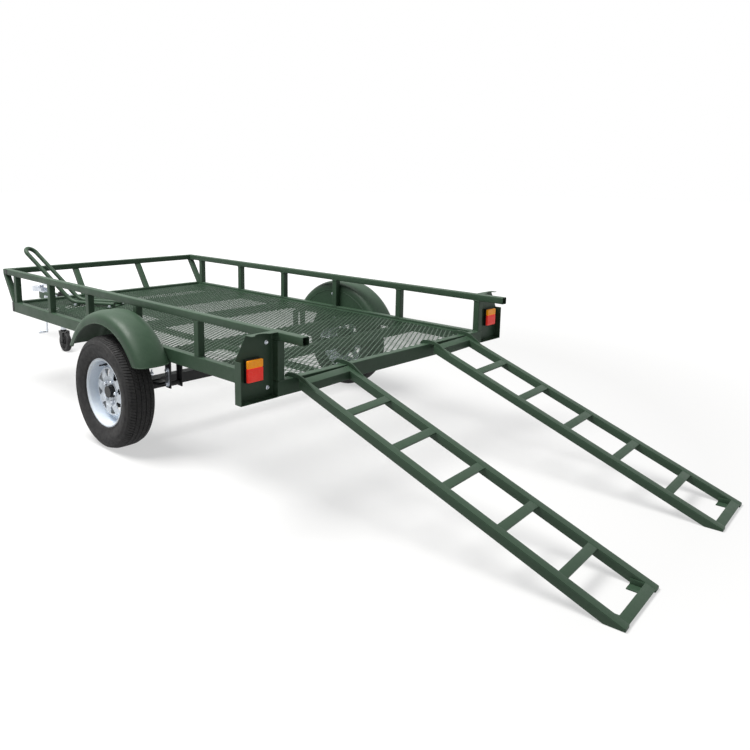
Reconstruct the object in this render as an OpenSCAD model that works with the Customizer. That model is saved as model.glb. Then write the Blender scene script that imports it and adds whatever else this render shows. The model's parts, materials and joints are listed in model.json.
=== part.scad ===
// Flat-bed trailer for all-terrain vehicles, with a pair of hook-on ladder ramps.
// +X runs rearward to the ramps, +Z up, Y = 0 is the centre plane, Z = 0 the ground.

/* [Bed frame] */
// bed length, front rail to rear rail
bed_len = 2794; // [2500:1:3000]
// bed width over the side rails
bed_w = 1563; // [1400:1:1700]
// height of the side rails' top face above the ground
deck_z = 574; // [540:1:620]
// depth of the lower rails
rail_h = 70; // [60:1:80]
// width of the lower rails
rail_w = 40; // [35:1:50]
// distance from the axle back to the rear face of the bed
axle_to_rear = 1194; // [1100:1:1300]
// depth of the mesh below the top of the side rails
deck_recess = 14; // [10:1:18]
// thickness of the mesh panels
mesh_t = 6; // [4:0.5:8]
// width of a deck cross member
cross_w = 40; // [30:1:50]
// first cross member's centre ahead of the bed's rear face
cross_a = 488; // [440:1:540]
// second cross member, from the rear face
cross_b = 912; // [860:1:960]
// third cross member, from the rear face
cross_c = 1620; // [1500:1:1700]
// fourth cross member, behind the bed's front face
cross_d = 583; // [530:1:640]
// fifth cross member, behind the front face
cross_e = 433; // [380:1:480]
// centre of the bearer under the mesh from the centre plane, left side
bearer_y = 455; // [420:1:480]
// width of the bearer
bearer_w = 25; // [20:1:40]
// depth of the bearer
bearer_h = 30; // [20:1:40]
// wall of the steel tubes
wall = 2.5; // [2:0.5:3]

/* [Mesh] */
// long way of a mesh diamond, across the bed
mesh_long = 200; // [160:1:260]
// short way of a mesh diamond, along the bed
mesh_short = 100; // [80:1:130]
// width of a mesh strand
strand_w = 12; // [8:1:16]

/* [Upper rails] */
// side of the square tube of posts and top rails
tube = 38; // [32:1:42]
// height of the top rail's top face above the ground
top_z = 791; // [740:1:840]
// how far the front top rail leans ahead of the bed
front_lean = 124; // [80:1:160]
// how far the side top rails run on behind the bed
rail_over = 153; // [100:1:200]
// first bay from the rear
bay_a = 584; // [540:1:600]
// second bay
bay_b = 563; // [540:1:600]
// third bay
bay_c = 535; // [500:1:560]
// fourth bay
bay_d = 508; // [480:1:540]
// centre of the foremost side post behind the bed's front face
first_post = 66; // [58:1:100]
// half the spacing of the two sloped front posts
front_post_y = 260; // [200:1:320]

/* [Lamp trays] */
// width of a lamp tray outside the bed
tray_w = 201; // [180:1:220]
// depth of the tray's flanges
tray_d = 41; // [35:1:45]
// thickness of the tray's sheet
tray_t = 3; // [2:0.5:4]
// height where the tray's outer edge starts to slope in
tray_knee_z = 690; // [660:1:720]
// inward slope of the tray's top corner
tray_slope = 58; // [40:1:80]
// width of a tail lamp
lamp_w = 82; // [70:1:95]
// height of a tail lamp
lamp_h = 100; // [90:1:115]
// depth of a tail lamp's housing
lamp_d = 16; // [12:1:24]
// how far the lenses stand out of the housing
lens_d = 14; // [10:1:20]
// height of the lamps' centre
lamp_z = 640; // [620:1:670]
// centre of a lamp outside the bed
lamp_out = 115; // [100:1:125]
// height of the amber lens
amber_h = 34; // [28:1:45]

/* [Wheels] */
// tyre radius
tyre_r = 303; // [290:1:310]
// tyre width
tyre_w = 166; // [150:1:180]
// distance of a wheel's centre plane outside the bed
wheel_gap = 123.5; // [115:0.5:135]
// radius of the rim's flange
rim_r = 182; // [176:1:186]
// tread groove depth
groove = 7; // [5:0.5:9]
// number of windows in a rim
windows = 8; // [6:1:10]
// inner radius of a window
window_in = 80; // [76:1:90]
// outer radius of a window
window_out = 122; // [115:1:126]
// half width of a window at its outer side
window_half = 25; // [18:1:30]
// turn of the windows from the level
window_turn = 10; // [0:1:45]
// bolt circle of the wheel nuts
lug_pcd = 114.3; // [100:0.1:120]
// radius of the wheel bore and spindle
spindle_r = 16; // [14:0.5:18]
// running clearance of the wheel on its spindle
run_gap = 0.06; // [0.03:0.01:0.09]

/* [Mudguards] */
// crown radius of a mudguard
guard_r = 437; // [425:1:450]
// radius of its rolled edges
guard_edge_r = 374; // [365:1:385]
// width of a mudguard outside the bed
guard_w = 190.5; // [180:0.5:205]
// sheet thickness
guard_t = 3; // [2:0.5:4]
// height of its ends above the ground
guard_end_z = 501; // [485:1:520]

/* [Axle and springs] */
// side of the square axle beam
axle_s = 60; // [50:1:65]
// centre of a leaf spring inside the bed's outer face
spring_in = 52.5; // [44:0.5:62]
// half length of a leaf spring, eye to eye
spring_half = 310; // [290:1:340]
// spring eye height above the ground
eye_z = 376; // [368:1:400]
// width of the leaves
leaf_w = 60; // [50:1:66]
// thickness of one leaf
leaf_t = 8; // [7:0.5:9]

/* [Drawbar] */
// side of the square drawbar
pole = 60; // [55:1:70]
// distance from the bed's front to the coupler's nose
tongue_len = 1440; // [1350:1:1500]
// top of the drawbar at the coupler
tongue_z = 418; // [400:1:430]
// length of the drawbar under the bed
pole_under = 900; // [800:1:1000]
// radius of the coupler's ball socket
ball_r = 25.2; // [25:0.1:25.6]

/* [Jockey wheel] */
// distance from the bed's front forward to the jockey leg
jockey_dx = 670; // [620:1:720]
// distance of the leg from the centre plane
jockey_y = 118; // [112:1:125]
// jockey wheel radius
jockey_r = 80; // [70:1:85]
// jockey wheel width
jockey_w = 45; // [38:1:50]
// outer tube radius
leg_r = 24; // [22:0.5:26]
// top of the outer tube
leg_top = 490; // [480:1:520]
// length of the outer tube
leg_len = 225; // [215:1:235]

/* [Wheel chock] */
// start of the chock's bend behind the bed's front
chock_x = 349; // [320:1:380]
// its distance from the centre plane
chock_y = 436; // [420:1:450]
// turn of the chock in plan, toward the left front corner
chock_turn = 30; // [20:1:34]
// thickness of its base strips
chock_strip = 5; // [3:1:8]
// width of its base strips
chock_strip_w = 40; // [30:1:50]
// how far the base strips reach past the tubes
chock_tab = 36; // [26:1:44]
// inside width between the tubes
chock_gap = 65; // [55:1:75]
// radius of the tube
chock_r = 14; // [12:0.5:15]
// lean of the hoop above the level
chock_lean = 44; // [38:1:48]
// radius of the bends
chock_bend_r = 131; // [110:1:140]
// length of the tubes behind the bend
chock_rear = 270; // [250:1:290]
// length of the hoop from the bend to its top
chock_len = 467; // [440:1:480]
// radius of the bolt holes in its base strips
chock_hole_r = 5.5; // [4.5:0.5:6.5]

/* [Ramps] */
// slope of the ramps as they stand
ramp_slope = 21.1; // [20:0.1:24]
// width of a ramp over its rails
ramp_w = 345; // [320:1:370]
// gap from the bed's side face to the left ramp's outer side
ramp_gap_left = 89; // [70:1:120]
// gap from the bed's side face to the right ramp's outer side
ramp_gap_right = 157; // [90:1:180]
// how far the ramps' top ends lie below the rear rail's top face
ramp_drop = 3; // [0:1:8]
// turn of both ramps in plan, as they lie
ramp_skew = 4; // [0:0.5:5]
// height of the ramp's end at the toe
toe_h = 12; // [8:1:16]
// width of the plate across the toe
toe_plate_w = 50; // [40:1:60]
// its thickness
toe_plate_t = 5; // [4:1:8]
// length of the angle pieces at the feet
toe_angle_l = 54; // [40:1:60]
// how far they reach inward
toe_angle_w = 44; // [30:1:50]
// their thickness
toe_angle_t = 4; // [3:1:6]
// distance from the toe to the angle pieces
toe_back = 36; // [30:1:50]
// side of the ramp's tube
ramp_tube = 38; // [34:1:42]
// pitch of the rungs
rung_pitch = 257; // [240:1:270]
// number of rungs between the end bars
rung_count = 5; // [4:1:6]
// thickness of a hook plate
hook_t = 8; // [6:1:10]
// height of a hook plate above the rear rail
hook_h = 20; // [14:1:26]
// length of a hook plate down the ramp
hook_len = 96; // [80:1:120]
// centre of a hook plate from the ramp's outer side
hook_in = 6; // [5:1:20]
// thickness of the hook's nose
nose_t = 12; // [8:1:16]
// how far the nose reaches down in front of the rail
nose_drop = 5; // [3:1:12]

/* [Hidden] */
$fn = 48;

hw = bed_w / 2;
clear = 5;
// gap left where one piece rests on another
seat = 0.3;
// gap from the rear rail to the ramp's top end, with room for the turn in plan
ramp_top_dx = clear + 1 + ramp_w / 2 * sin(ramp_skew);
// height of the ramp's top plane where it starts
ramp_start_z = deck_z - ramp_drop;
ramp_run = (ramp_start_z - toe_h) / tan(ramp_slope);
// how far cross bars run into the rails that carry them
bar_in = 1;
// the origin is under the middle of the whole length
nose_rel = axle_to_rear - bed_len - tongue_len;
toe_rel = axle_to_rear + ramp_top_dx + ramp_run * cos(ramp_skew) + ramp_w / 2 * sin(ramp_skew);
axle_x = -(nose_rel + toe_rel) / 2;
x_rear = axle_x + axle_to_rear;
x_front = x_rear - bed_len;
rail_bot = deck_z - rail_h;
mesh_top = deck_z - deck_recess;
cross_top = mesh_top - mesh_t;
cross_h = cross_top - rail_bot;
post_x = [x_rear - tube / 2,
  x_rear - tube / 2 - bay_a,
  x_rear - tube / 2 - bay_a - bay_b,
  x_rear - tube / 2 - bay_a - bay_b - bay_c,
  x_rear - tube / 2 - bay_a - bay_b - bay_c - bay_d,
  x_front + first_post];
in_w = bed_w - 2 * rail_w;
mesh_x0 = x_front + rail_w + seat;
mesh_x1 = x_rear - rail_w - seat;
axle_h = tyre_r;
wheel_y = hw + wheel_gap;
guard_out = hw + guard_w;
spring_y = hw - spring_in;
ramp_y_left = hw - ramp_gap_left - ramp_w / 2;
ramp_y_right = hw - ramp_gap_right - ramp_w / 2;

green = [0.13, 0.22, 0.16];
black = [0.06, 0.06, 0.07];
zinc = [0.72, 0.74, 0.76];

// axis-aligned box from corner to corner
module box(a, b) translate(a) cube([b[0] - a[0], b[1] - a[1], b[2] - a[2]]);

// outline drawn in X and Z, extruded along Y from y0 to y1
module side(y0, y1) translate([0, y1, 0]) rotate([90, 0, 0]) linear_extrude(y1 - y0) children();

// cylinder along Y from y0 to y1
module rod_y(x, z, r, y0, y1, fn = 48)
  translate([x, y1, z]) rotate([90, 0, 0]) cylinder(r = r, h = y1 - y0, $fn = fn);

// cylinder along X from x0 to x1
module rod_x(x0, x1, y, z, r, fn = 48)
  translate([x0, y, z]) rotate([0, 90, 0]) cylinder(r = r, h = x1 - x0, $fn = fn);

// hollow square tube along X
module tube_x(x0, x1, y, z, s) difference() {
  box([x0, y - s / 2, z - s / 2], [x1, y + s / 2, z + s / 2]);
  box([x0 - 1, y - s / 2 + wall, z - s / 2 + wall], [x1 + 1, y + s / 2 - wall, z + s / 2 - wall]);
}

// true mirror for the right side
module right() mirror([0, 1, 0]) children();

// bed frame

module left_side_rail() color(green)
  box([x_front, -hw, rail_bot], [x_rear - rail_w, -hw + rail_w, deck_z]);

module right_side_rail() color(green) right() left_side_rail();

module front_cross_rail() color(green)
  box([x_front, -hw + rail_w, rail_bot], [x_front + rail_w, hw - rail_w, deck_z]);

module rear_cross_rail() color(green)
  box([x_rear - rail_w, -hw, rail_bot], [x_rear, hw, deck_z]);

cross_x = [x_rear - cross_a, x_rear - cross_b, x_rear - cross_c, x_front + cross_d, x_front + cross_e];

module deck_cross_members() color(green) {
  for (x = cross_x)
    box([x - cross_w / 2, -hw + rail_w, rail_bot], [x + cross_w / 2, hw - rail_w, cross_top]);
  box([x_front + cross_d, -bearer_y - bearer_w / 2, cross_top - bearer_h],
    [mesh_x1, -bearer_y + bearer_w / 2, cross_top]);
}

// expanded mesh: a sheet with rows of diamond openings, long way across the bed
module mesh_panel(x0, x1) color(green) translate([0, 0, cross_top]) linear_extrude(mesh_t)
  difference() {
    translate([x0, -hw + rail_w]) square([x1 - x0, in_w]);
    mesh_holes(x0, x1);
  }

module mesh_holes(x0, x1) {
  nx = floor((x1 - x0 - 2 * strand_w) / (mesh_short / 2)) - 1;
  ny = floor((in_w - 2 * strand_w) / mesh_long);
  // a diamond is as much smaller than its cell as the strand's slant asks
  slant = atan(mesh_short / mesh_long);
  dx = mesh_short / 2 - strand_w / 2 / cos(slant);
  dy = mesh_long / 2 - strand_w / 2 / sin(slant);
  xc = (x0 + x1) / 2 - nx / 2 * mesh_short / 2 + mesh_short / 4;
  for (i = [0 : nx - 1])
    for (j = [0 : ny - 1 - i % 2])
      translate([xc + i * mesh_short / 2, (j - (ny - 1 - i % 2) / 2) * mesh_long])
        polygon([[-dx, 0], [0, -dy], [dx, 0], [0, dy]]);
}

// the two panels meet over a cross member
mesh_seam = cross_x[2];

module mesh_deck_front() mesh_panel(mesh_x0, mesh_seam - seat);

module mesh_deck_rear() mesh_panel(mesh_seam + seat, mesh_x1);

// upper rails and posts

module left_top_rail() color(green)
  tube_x(x_front - front_lean + tube, x_rear + rail_over, -hw + tube / 2, top_z - tube / 2, tube);

module right_top_rail() color(green) right() left_top_rail();

module front_top_rail() color(green)
  box([x_front - front_lean, -hw, top_z - tube], [x_front - front_lean + tube, hw, top_z]);

module post(x) box([x - tube / 2, -hw, deck_z], [x + tube / 2, -hw + tube, top_z - tube]);

module side_posts() color(green) for (x = post_x) {
  post(x);
  right() post(x);
}

// sloped front posts: a parallelogram in side view
module sloped_post(y) side(y - tube / 2, y + tube / 2)
  polygon([[x_front, deck_z], [x_front + tube, deck_z],
    [x_front - front_lean + tube, top_z - tube], [x_front - front_lean, top_z - tube]]);

module front_posts() color(green) for (y = [-hw + tube / 2, -front_post_y, front_post_y, hw - tube / 2])
  sloped_post(y);

// mudguards: a rounded section swept round the wheel, with an inner side plate

guard_in = hw + 1;
guard_mid = (guard_in + guard_out) / 2;
guard_half = (guard_out - guard_in) / 2;
guard_steps = 12;
// how square the section is: 1 is an ellipse, less is squarer
guard_square = 0.62;
bead_r = 4.5;
plate_over = 2;
guard_tab_w = 40;
guard_tab_x = 40;
guard_tab_up = 60;
guard_tab_down = 50;
guard_a = asin((guard_end_z - axle_h) / guard_r) - 2;
// the side plate stands this much proud of the section's edge, on both its faces
plate_lap = 0.4;

function guard_pt(t, off) = let (c = cos(t), s = sin(t))
  [guard_edge_r + (guard_r - guard_edge_r) * pow(abs(s), guard_square) - off * abs(s),
   (guard_half - off) * (c < 0 ? -1 : 1) * pow(abs(c), guard_square)];

module guard_section() polygon(concat(
  [for (i = [0 : guard_steps]) guard_pt(180 * i / guard_steps, 0)],
  [for (i = [guard_steps : -1 : 0]) guard_pt(180 * i / guard_steps, guard_t)]));

// turns a section of radius and width round the axle
module round_axle() translate([axle_x, -guard_mid, axle_h]) rotate([90, 0, 0])
  rotate([0, 0, guard_a]) rotate_extrude(angle = 180 - 2 * guard_a, $fn = 96) children();

module left_mudguard() color(green) {
  intersection() {
    union() {
      round_axle() guard_section();
      round_axle() translate([guard_edge_r, guard_half - guard_t / 2]) circle(r = bead_r, $fn = 16);
      rod_y(axle_x, axle_h, guard_edge_r + plate_over, -guard_in - guard_t - plate_lap, -guard_in + plate_lap, 96);
    }
    box([axle_x - guard_r, -guard_out - 2 * bead_r, guard_end_z], [axle_x + guard_r, -hw, axle_h + 2 * guard_r]);
  }
  box([axle_x - guard_tab_x - guard_tab_w / 2, -guard_in - guard_t, deck_z - guard_tab_down],
    [axle_x - guard_tab_x + guard_tab_w / 2, -hw, deck_z + guard_tab_up]);
}

module right_mudguard() color(green) right() left_mudguard();

// lamp trays

grommet_r = 9;
grommet_gap = 3;
grommet_len = 14;
// the tray's top flange has a hollow rear edge: a circle's arc this deep
hollow_r = 46;
hollow_deep = 24;
hollow_y = 12;
lamp_y = hw + lamp_out;
lamp_x = x_rear - tray_d + tray_t;
lens_rim = 3;

module left_lamp_tray() color(green) {
  xp = x_rear - tray_d;
  yo = -hw - tray_w;
  difference() {
    translate([xp, 0, 0]) rotate([90, 0, 90]) linear_extrude(tray_t)
      polygon([[-hw, rail_bot], [yo, rail_bot], [yo, tray_knee_z], [yo + tray_slope, top_z], [-hw, top_z]]);
    rod_x(xp - 1, xp + tray_t + 1, -lamp_y, lamp_z, grommet_r + grommet_gap);
  }
  box([xp, yo, rail_bot], [x_rear, yo + tray_t, tray_knee_z]);
  box([xp, yo, rail_bot], [x_rear, -hw, rail_bot + tray_t]);
  difference() {
    box([xp, yo + tray_slope, top_z - tray_t], [x_rear, -hw, top_z]);
    translate([x_rear + hollow_r - hollow_deep, (yo + tray_slope - hw) / 2 - hollow_y, top_z - tray_t - 1])
      cylinder(r = hollow_r, h = tray_t + 2, $fn = 64);
  }
}

module right_lamp_tray() color(green) right() left_lamp_tray();

module lamp_housing() {
  box([lamp_x, -lamp_y - lamp_w / 2, lamp_z - lamp_h / 2],
    [lamp_x + lamp_d, -lamp_y + lamp_w / 2, lamp_z + lamp_h / 2]);
  rod_x(lamp_x - tray_t - grommet_len, lamp_x, -lamp_y, lamp_z, grommet_r);
}

module lamp_housings() color(black) {
  lamp_housing();
  right() lamp_housing();
}

// a lens on the housing's rear face, from z0 to z1
module lens(z0, z1) box([lamp_x + lamp_d, -lamp_y - lamp_w / 2 + lens_rim, z0],
  [lamp_x + lamp_d + lens_d, -lamp_y + lamp_w / 2 - lens_rim, z1]);

lens_top = lamp_z + lamp_h / 2 - lens_rim;
lens_bot = lamp_z - lamp_h / 2 + lens_rim;

module amber_lens() lens(lens_top - amber_h, lens_top);

module red_lens() lens(lens_bot, lens_top - amber_h - seat);

module amber_lenses() color([0.9, 0.45, 0.05]) {
  amber_lens();
  right() amber_lens();
}

module red_lenses() color([0.75, 0.05, 0.04]) {
  red_lens();
  right() red_lens();
}

// axle, springs and hangers

// the hub's ends on both sides of the wheel's centre plane
hub_in_w = 62;
hub_out_w = 22;
hub_in = wheel_y - hub_in_w;
hub_out = wheel_y + hub_out_w;
stub_l = 40;
shoulder_t = 9;
axle_nut_t = 7;
axle_nut_h = 6;
stub_in = 10;

module spindle() {
  box([axle_x - axle_s / 2, -spring_y - stub_l, axle_h - axle_s / 2],
    [axle_x + axle_s / 2, -spring_y, axle_h + axle_s / 2]);
  rod_y(axle_x, axle_h, spindle_r, -hub_out - 1, -spring_y - stub_l + stub_in);
  rod_y(axle_x, axle_h, spindle_r + shoulder_t, -hub_in + 1, -spring_y - stub_l + stub_in);
  rod_y(axle_x, axle_h, spindle_r + axle_nut_t, -hub_out - axle_nut_h, -hub_out - 0.5, 6);
}

module axle_beam() color(black) {
  box([axle_x - axle_s / 2, -spring_y, axle_h - axle_s / 2], [axle_x + axle_s / 2, spring_y, axle_h + axle_s / 2]);
  spindle();
  right() spindle();
}

eye_r = 14;
pin_r = 8;
pin_gap = 0.08;
spring_mid = axle_h + axle_s / 2;
// the leaf lies on the axle seat and rises to its eyes as a circle's arc
arc_rise = eye_z - eye_r - spring_mid;
arc_r = (spring_half * spring_half + arc_rise * arc_rise) / (2 * arc_rise);
// the second and third leaf's share of the main leaf's length
leaf_2 = 0.72;
leaf_3 = 0.46;

module leaf(half, lift) side(-spring_y - leaf_w / 2, -spring_y + leaf_w / 2) intersection() {
  translate([axle_x, spring_mid + lift + arc_r]) difference() {
    circle(r = arc_r, $fn = 256);
    circle(r = arc_r - leaf_t, $fn = 256);
  }
  translate([axle_x - half, spring_mid]) square([2 * half, deck_z - spring_mid]);
}

module left_leaf_spring() color(black) {
  difference() {
    union() {
      leaf(spring_half, 0);
      for (s = [-1, 1]) rod_y(axle_x + s * spring_half, eye_z, eye_r, -spring_y - leaf_w / 2, -spring_y + leaf_w / 2);
    }
    for (s = [-1, 1]) rod_y(axle_x + s * spring_half, eye_z, pin_r + pin_gap, -spring_y - leaf_w, -spring_y + leaf_w);
  }
  leaf(spring_half * leaf_2, leaf_t);
  leaf(spring_half * leaf_3, 2 * leaf_t);
}

module right_leaf_spring() color(black) right() left_leaf_spring();

hang_t = 6;
// half lengths of a hanger plate along the bed at its top and its foot, and its reach below the eye
hang_top = 26;
hang_foot = 22;
hang_below = 21;
hang_gap = 1;
pin_out = 8;
hang_y = leaf_w / 2 + hang_gap + hang_t;

module hanger(s) {
  xe = axle_x + s * spring_half;
  for (y = [-spring_y - hang_y, -spring_y + hang_y - hang_t])
    side(y, y + hang_t) polygon([[xe - hang_top, rail_bot], [xe + hang_top, rail_bot],
      [xe + hang_foot, eye_z - hang_below], [xe - hang_foot, eye_z - hang_below]]);
  box([xe - hang_top, -spring_y - hang_y, rail_bot - hang_t], [xe + hang_top, -spring_y + hang_y, rail_bot]);
  rod_y(xe, eye_z, pin_r, -spring_y - hang_y - pin_out, -spring_y + hang_y + pin_out);
}

module spring_hangers() color(black) {
  for (s = [-1, 1]) hanger(s);
  right() for (s = [-1, 1]) hanger(s);
}

u_r = 5;
u_plate_over = 14;
u_plate_t = 8;
u_nut_r = 9;
u_nut_h = 8;
u_tail = 22;
u_dx = axle_s / 2 + u_r + seat;
u_z = axle_h - axle_s / 2 - u_r - seat;
// the spring's stack rises this much from its middle to the plate's end
u_rise = pow(axle_s / 2 + u_plate_over, 2) / (2 * (arc_r - leaf_t));

module u_bolts() {
  zt = spring_mid + 3 * leaf_t + u_rise + seat + u_plate_t;
  box([axle_x - axle_s / 2 - u_plate_over, -spring_y - leaf_w / 2 - u_plate_over, zt - u_plate_t],
    [axle_x + axle_s / 2 + u_plate_over, -spring_y + leaf_w / 2 + u_plate_over, zt]);
  for (sy = [-1, 1]) {
    y = -spring_y + sy * (leaf_w / 2 + u_r + seat);
    for (sx = [-1, 1])
      translate([axle_x + sx * u_dx, y, u_z]) cylinder(r = u_r, h = zt + u_tail - u_z, $fn = 24);
    rod_x(axle_x - u_dx, axle_x + u_dx, y, u_z, u_r, 24);
    for (sx = [-1, 1])
      translate([axle_x + sx * u_dx, y, zt]) cylinder(r = u_nut_r, h = u_nut_h, $fn = 6);
  }
}

module axle_u_bolts() color(zinc) {
  u_bolts();
  right() u_bolts();
}

// wheels: profiles drawn as radius and width, turned about the axle

module wheel_turn() translate([axle_x, -wheel_y, axle_h]) rotate([90, 0, 0]) rotate_extrude($fn = 96) children();

// a half profile, from the rim outward, with its mirror image
function both(half) = concat([for (p = half) [p[0], -p[1]]], [for (i = [len(half) - 1 : -1 : 0]) half[i]]);

// half width between the rim's flanges, and the depth and rise of the tyre's seat inside them
flange_y = 56;
bead_deep = 8;
bead_rise = 6;
flange_h = 4;
flange_t = 3.5;
flange_gap = 0.5;
barrel_t = 3;
// the sidewall's widest point above the rim, and the shoulder's corners below the tread and inside the side
belly_h = 58;
belly_foot = [30, 5];
shoulder = [[34, 5], [12, 18], [3, 30]];
groove_w = 6;
groove_pitch = 22;

module left_tyre() color([0.05, 0.05, 0.05]) wheel_turn() difference() {
  polygon(both(concat([[rim_r - bead_deep, flange_y - bead_rise], [rim_r, flange_y],
    [rim_r + flange_h + 1, flange_y + 1], [rim_r + belly_foot[0], tyre_w / 2 - belly_foot[1]],
    [rim_r + belly_h, tyre_w / 2]],
    [for (p = shoulder) [tyre_r - p[0], tyre_w / 2 - p[1]]],
    [[tyre_r, tyre_w / 4]])));
  for (i = [-1.5 : 1 : 1.5])
    translate([tyre_r - groove, i * groove_pitch - groove_w / 2]) square([groove + 1, groove_w]);
}

module right_tyre() color([0.05, 0.05, 0.05]) right() left_tyre();

hub_r = 34;
lug_r = 9;
lug_gap = 0.4;
lug_h = 16;
disc_y = 12;
disc_t = 5;
disc_gap = 2;
hub_flange_r = 70;
hub_flange_t = 9;
cap_len = 16;
cap_t = 4;
barrel_r = rim_r - bead_deep - seat;
// the disc from the hub outward: radius, and distance outside its flat middle
disc_line = [[hub_r + disc_gap, 0], [62, 0], [84, 16], [130, 10], [148, -20], [barrel_r - barrel_t / 2, -30]];
window_tip = 5;
window_corner = 7;

// a window like a triangle with its corners cut, wide side outward
module rim_window(a) rotate([0, 0, a]) linear_extrude(rim_r / 3, center = true)
  polygon([[window_in, -window_tip], [window_in, window_tip], [window_out - window_corner, window_half],
    [window_out, window_half - window_tip], [window_out, window_tip - window_half],
    [window_out - window_corner, -window_half]]);

module left_rim() color([0.93, 0.94, 0.95]) {
  wheel_turn() polygon(concat(
    both([[barrel_r, flange_y - bead_rise + flange_gap], [rim_r, flange_y + flange_gap],
      [rim_r + flange_h, flange_y + flange_gap + 1], [rim_r + flange_h, flange_y + flange_gap + 1 + flange_t],
      [rim_r - flange_h, flange_y + flange_gap + 1 + flange_t], [barrel_r - barrel_t, flange_y - bead_rise + 1]])));
  translate([axle_x, -wheel_y, axle_h]) rotate([90, 0, 0]) difference() {
    rotate_extrude($fn = 96) polygon(concat([for (p = disc_line) [p[0], disc_y + p[1]]],
      [for (i = [len(disc_line) - 1 : -1 : 0]) [disc_line[i][0], disc_y + disc_line[i][1] - disc_t]]));
    for (i = [0 : windows - 1]) rim_window(window_turn + i * 360 / windows);
    for (i = [0 : 4]) rotate([0, 0, i * 72]) translate([lug_pcd / 2, 0, 0])
      cylinder(r = lug_r + lug_gap, h = rim_r / 3, $fn = 32);
  }
}

module right_rim() color([0.93, 0.94, 0.95]) right() left_rim();

module left_hub() color(black) difference() {
  union() {
    rod_y(axle_x, axle_h, hub_flange_r, -wheel_y - disc_y + disc_t, -wheel_y - disc_y + disc_t + hub_flange_t);
    rod_y(axle_x, axle_h, hub_r, -hub_out, -hub_in);
    for (i = [0 : 4]) translate([axle_x, -wheel_y, axle_h]) rotate([0, i * 72, 0]) translate([lug_pcd / 2, 0, 0])
      rotate([90, 0, 0]) translate([0, 0, disc_y - disc_t - 2]) cylinder(r = lug_r, h = disc_t + lug_h, $fn = 6);
    difference() {
      rod_y(axle_x, axle_h, hub_r - 2, -hub_out - cap_len, -hub_out + 1);
      rod_y(axle_x, axle_h, hub_r - 2 - cap_t, -hub_out - cap_len + cap_t, -hub_out + 2);
    }
  }
  rod_y(axle_x, axle_h, spindle_r + run_gap, -hub_out - 0.5, -hub_in + 1);
}

module right_hub() color(black) right() left_hub();

// drawbar, coupler and jockey wheel

x_nose = x_front - tongue_len;
pole_end = x_nose + 190;
pole_top = rail_bot;
// the pole's bends lie this far from the bed's front and from its straight end
pole_bend = 60;
pole_dip = 4;
pole_lap = 40;

module drawbar() color(green) {
  side(-pole / 2, pole / 2) polygon([[x_front + pole_under, pole_top], [x_front, pole_top],
    [x_front - pole_bend, pole_top - pole_dip], [pole_end + pole_bend, tongue_z], [pole_end - pole_bend, tongue_z],
    [pole_end - pole_bend, tongue_z - pole], [pole_end + pole_bend, tongue_z - pole],
    [x_front - pole_bend, pole_top - pole - pole_dip], [x_front + pole_lap, pole_top - pole],
    [x_front + pole_under, pole_top - pole]]);
}

// the coupler's parts from its nose backward
ball_dx = 48;
cup_r = 48;
cup_h = 44;
cup_drop = 6;
cup_roof = 8;
coupler_half = 32;
coupler_len = 240;
cheek_x0 = 95;
cheek_x1 = 180;
cheek_t = 8;
cheek_h = 30;
head_len = 130;
handle_dx = 118;
handle_up = 46;
ear_r = 12;
ear_t = 7;
ear_y = 13;
ear_pin_r = 5;
ear_pin_gap = 0.05;
ball_x = x_nose + ball_dx;
handle_x = x_nose + handle_dx;
handle_z = tongue_z + handle_up;

module coupler_body() color(zinc) {
  difference() {
    union() {
      box([x_nose + cheek_x0, -coupler_half, tongue_z], [x_nose + coupler_len, coupler_half, tongue_z + cheek_t]);
      for (y = [-coupler_half, coupler_half - cheek_t])
        box([x_nose + cheek_x0, y, tongue_z], [x_nose + cheek_x1, y + cheek_t, tongue_z + cheek_h]);
      translate([ball_x, 0, tongue_z - cup_drop]) cylinder(r = cup_r, h = cup_h, $fn = 64);
      box([ball_x, -coupler_half, tongue_z], [x_nose + head_len, coupler_half, tongue_z + cheek_h]);
    }
    translate([ball_x, 0, tongue_z - cup_drop - 1]) cylinder(r = ball_r, h = cup_h - cup_roof + 1, $fn = 64);
  }
  for (y = [-ear_y - ear_t, ear_y]) side(y, y + ear_t) difference() {
    union() {
      translate([handle_x, handle_z]) circle(r = ear_r);
      translate([handle_x - ear_r, tongue_z + cheek_h / 2]) square([2 * ear_r, handle_z - tongue_z - cheek_h / 2]);
    }
    translate([handle_x, handle_z]) circle(r = ear_pin_r + ear_pin_gap);
  }
}

lever_half = 10;
lever_len = 118;
lever_t = 10;

module coupler_handle() color(zinc) {
  rod_y(handle_x, handle_z, ear_pin_r, -ear_y - ear_t - 4, ear_y + ear_t + 4);
  side(-lever_half, lever_half) {
    translate([handle_x, handle_z]) circle(r = lever_t);
    polygon([[handle_x - 4, handle_z + lever_t - 1], [handle_x + 3 * lever_t, handle_z + 2 * lever_t],
      [handle_x + lever_len, handle_z + 2.4 * lever_t], [handle_x + lever_len + 4, handle_z + 1.4 * lever_t],
      [handle_x + 3.6 * lever_t, handle_z + 0.8 * lever_t], [handle_x + 0.8 * lever_t, handle_z - lever_t / 2]]);
  }
}

jx = x_front - jockey_dx;
jy = -jockey_y;
leg_bot = leg_top - leg_len;
leg_gap = 0.6;
inner_r = leg_r - wall - leg_gap;
inner_len = 160;
yoke_over = 12;
fork_z = 2 * jockey_r + yoke_over;
clamp_t = 6;
clamp_half = 45;
clamp_arm = 22;
clamp_h = 32;
collar_t = 7;
collar_gap = 0.1;

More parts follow.
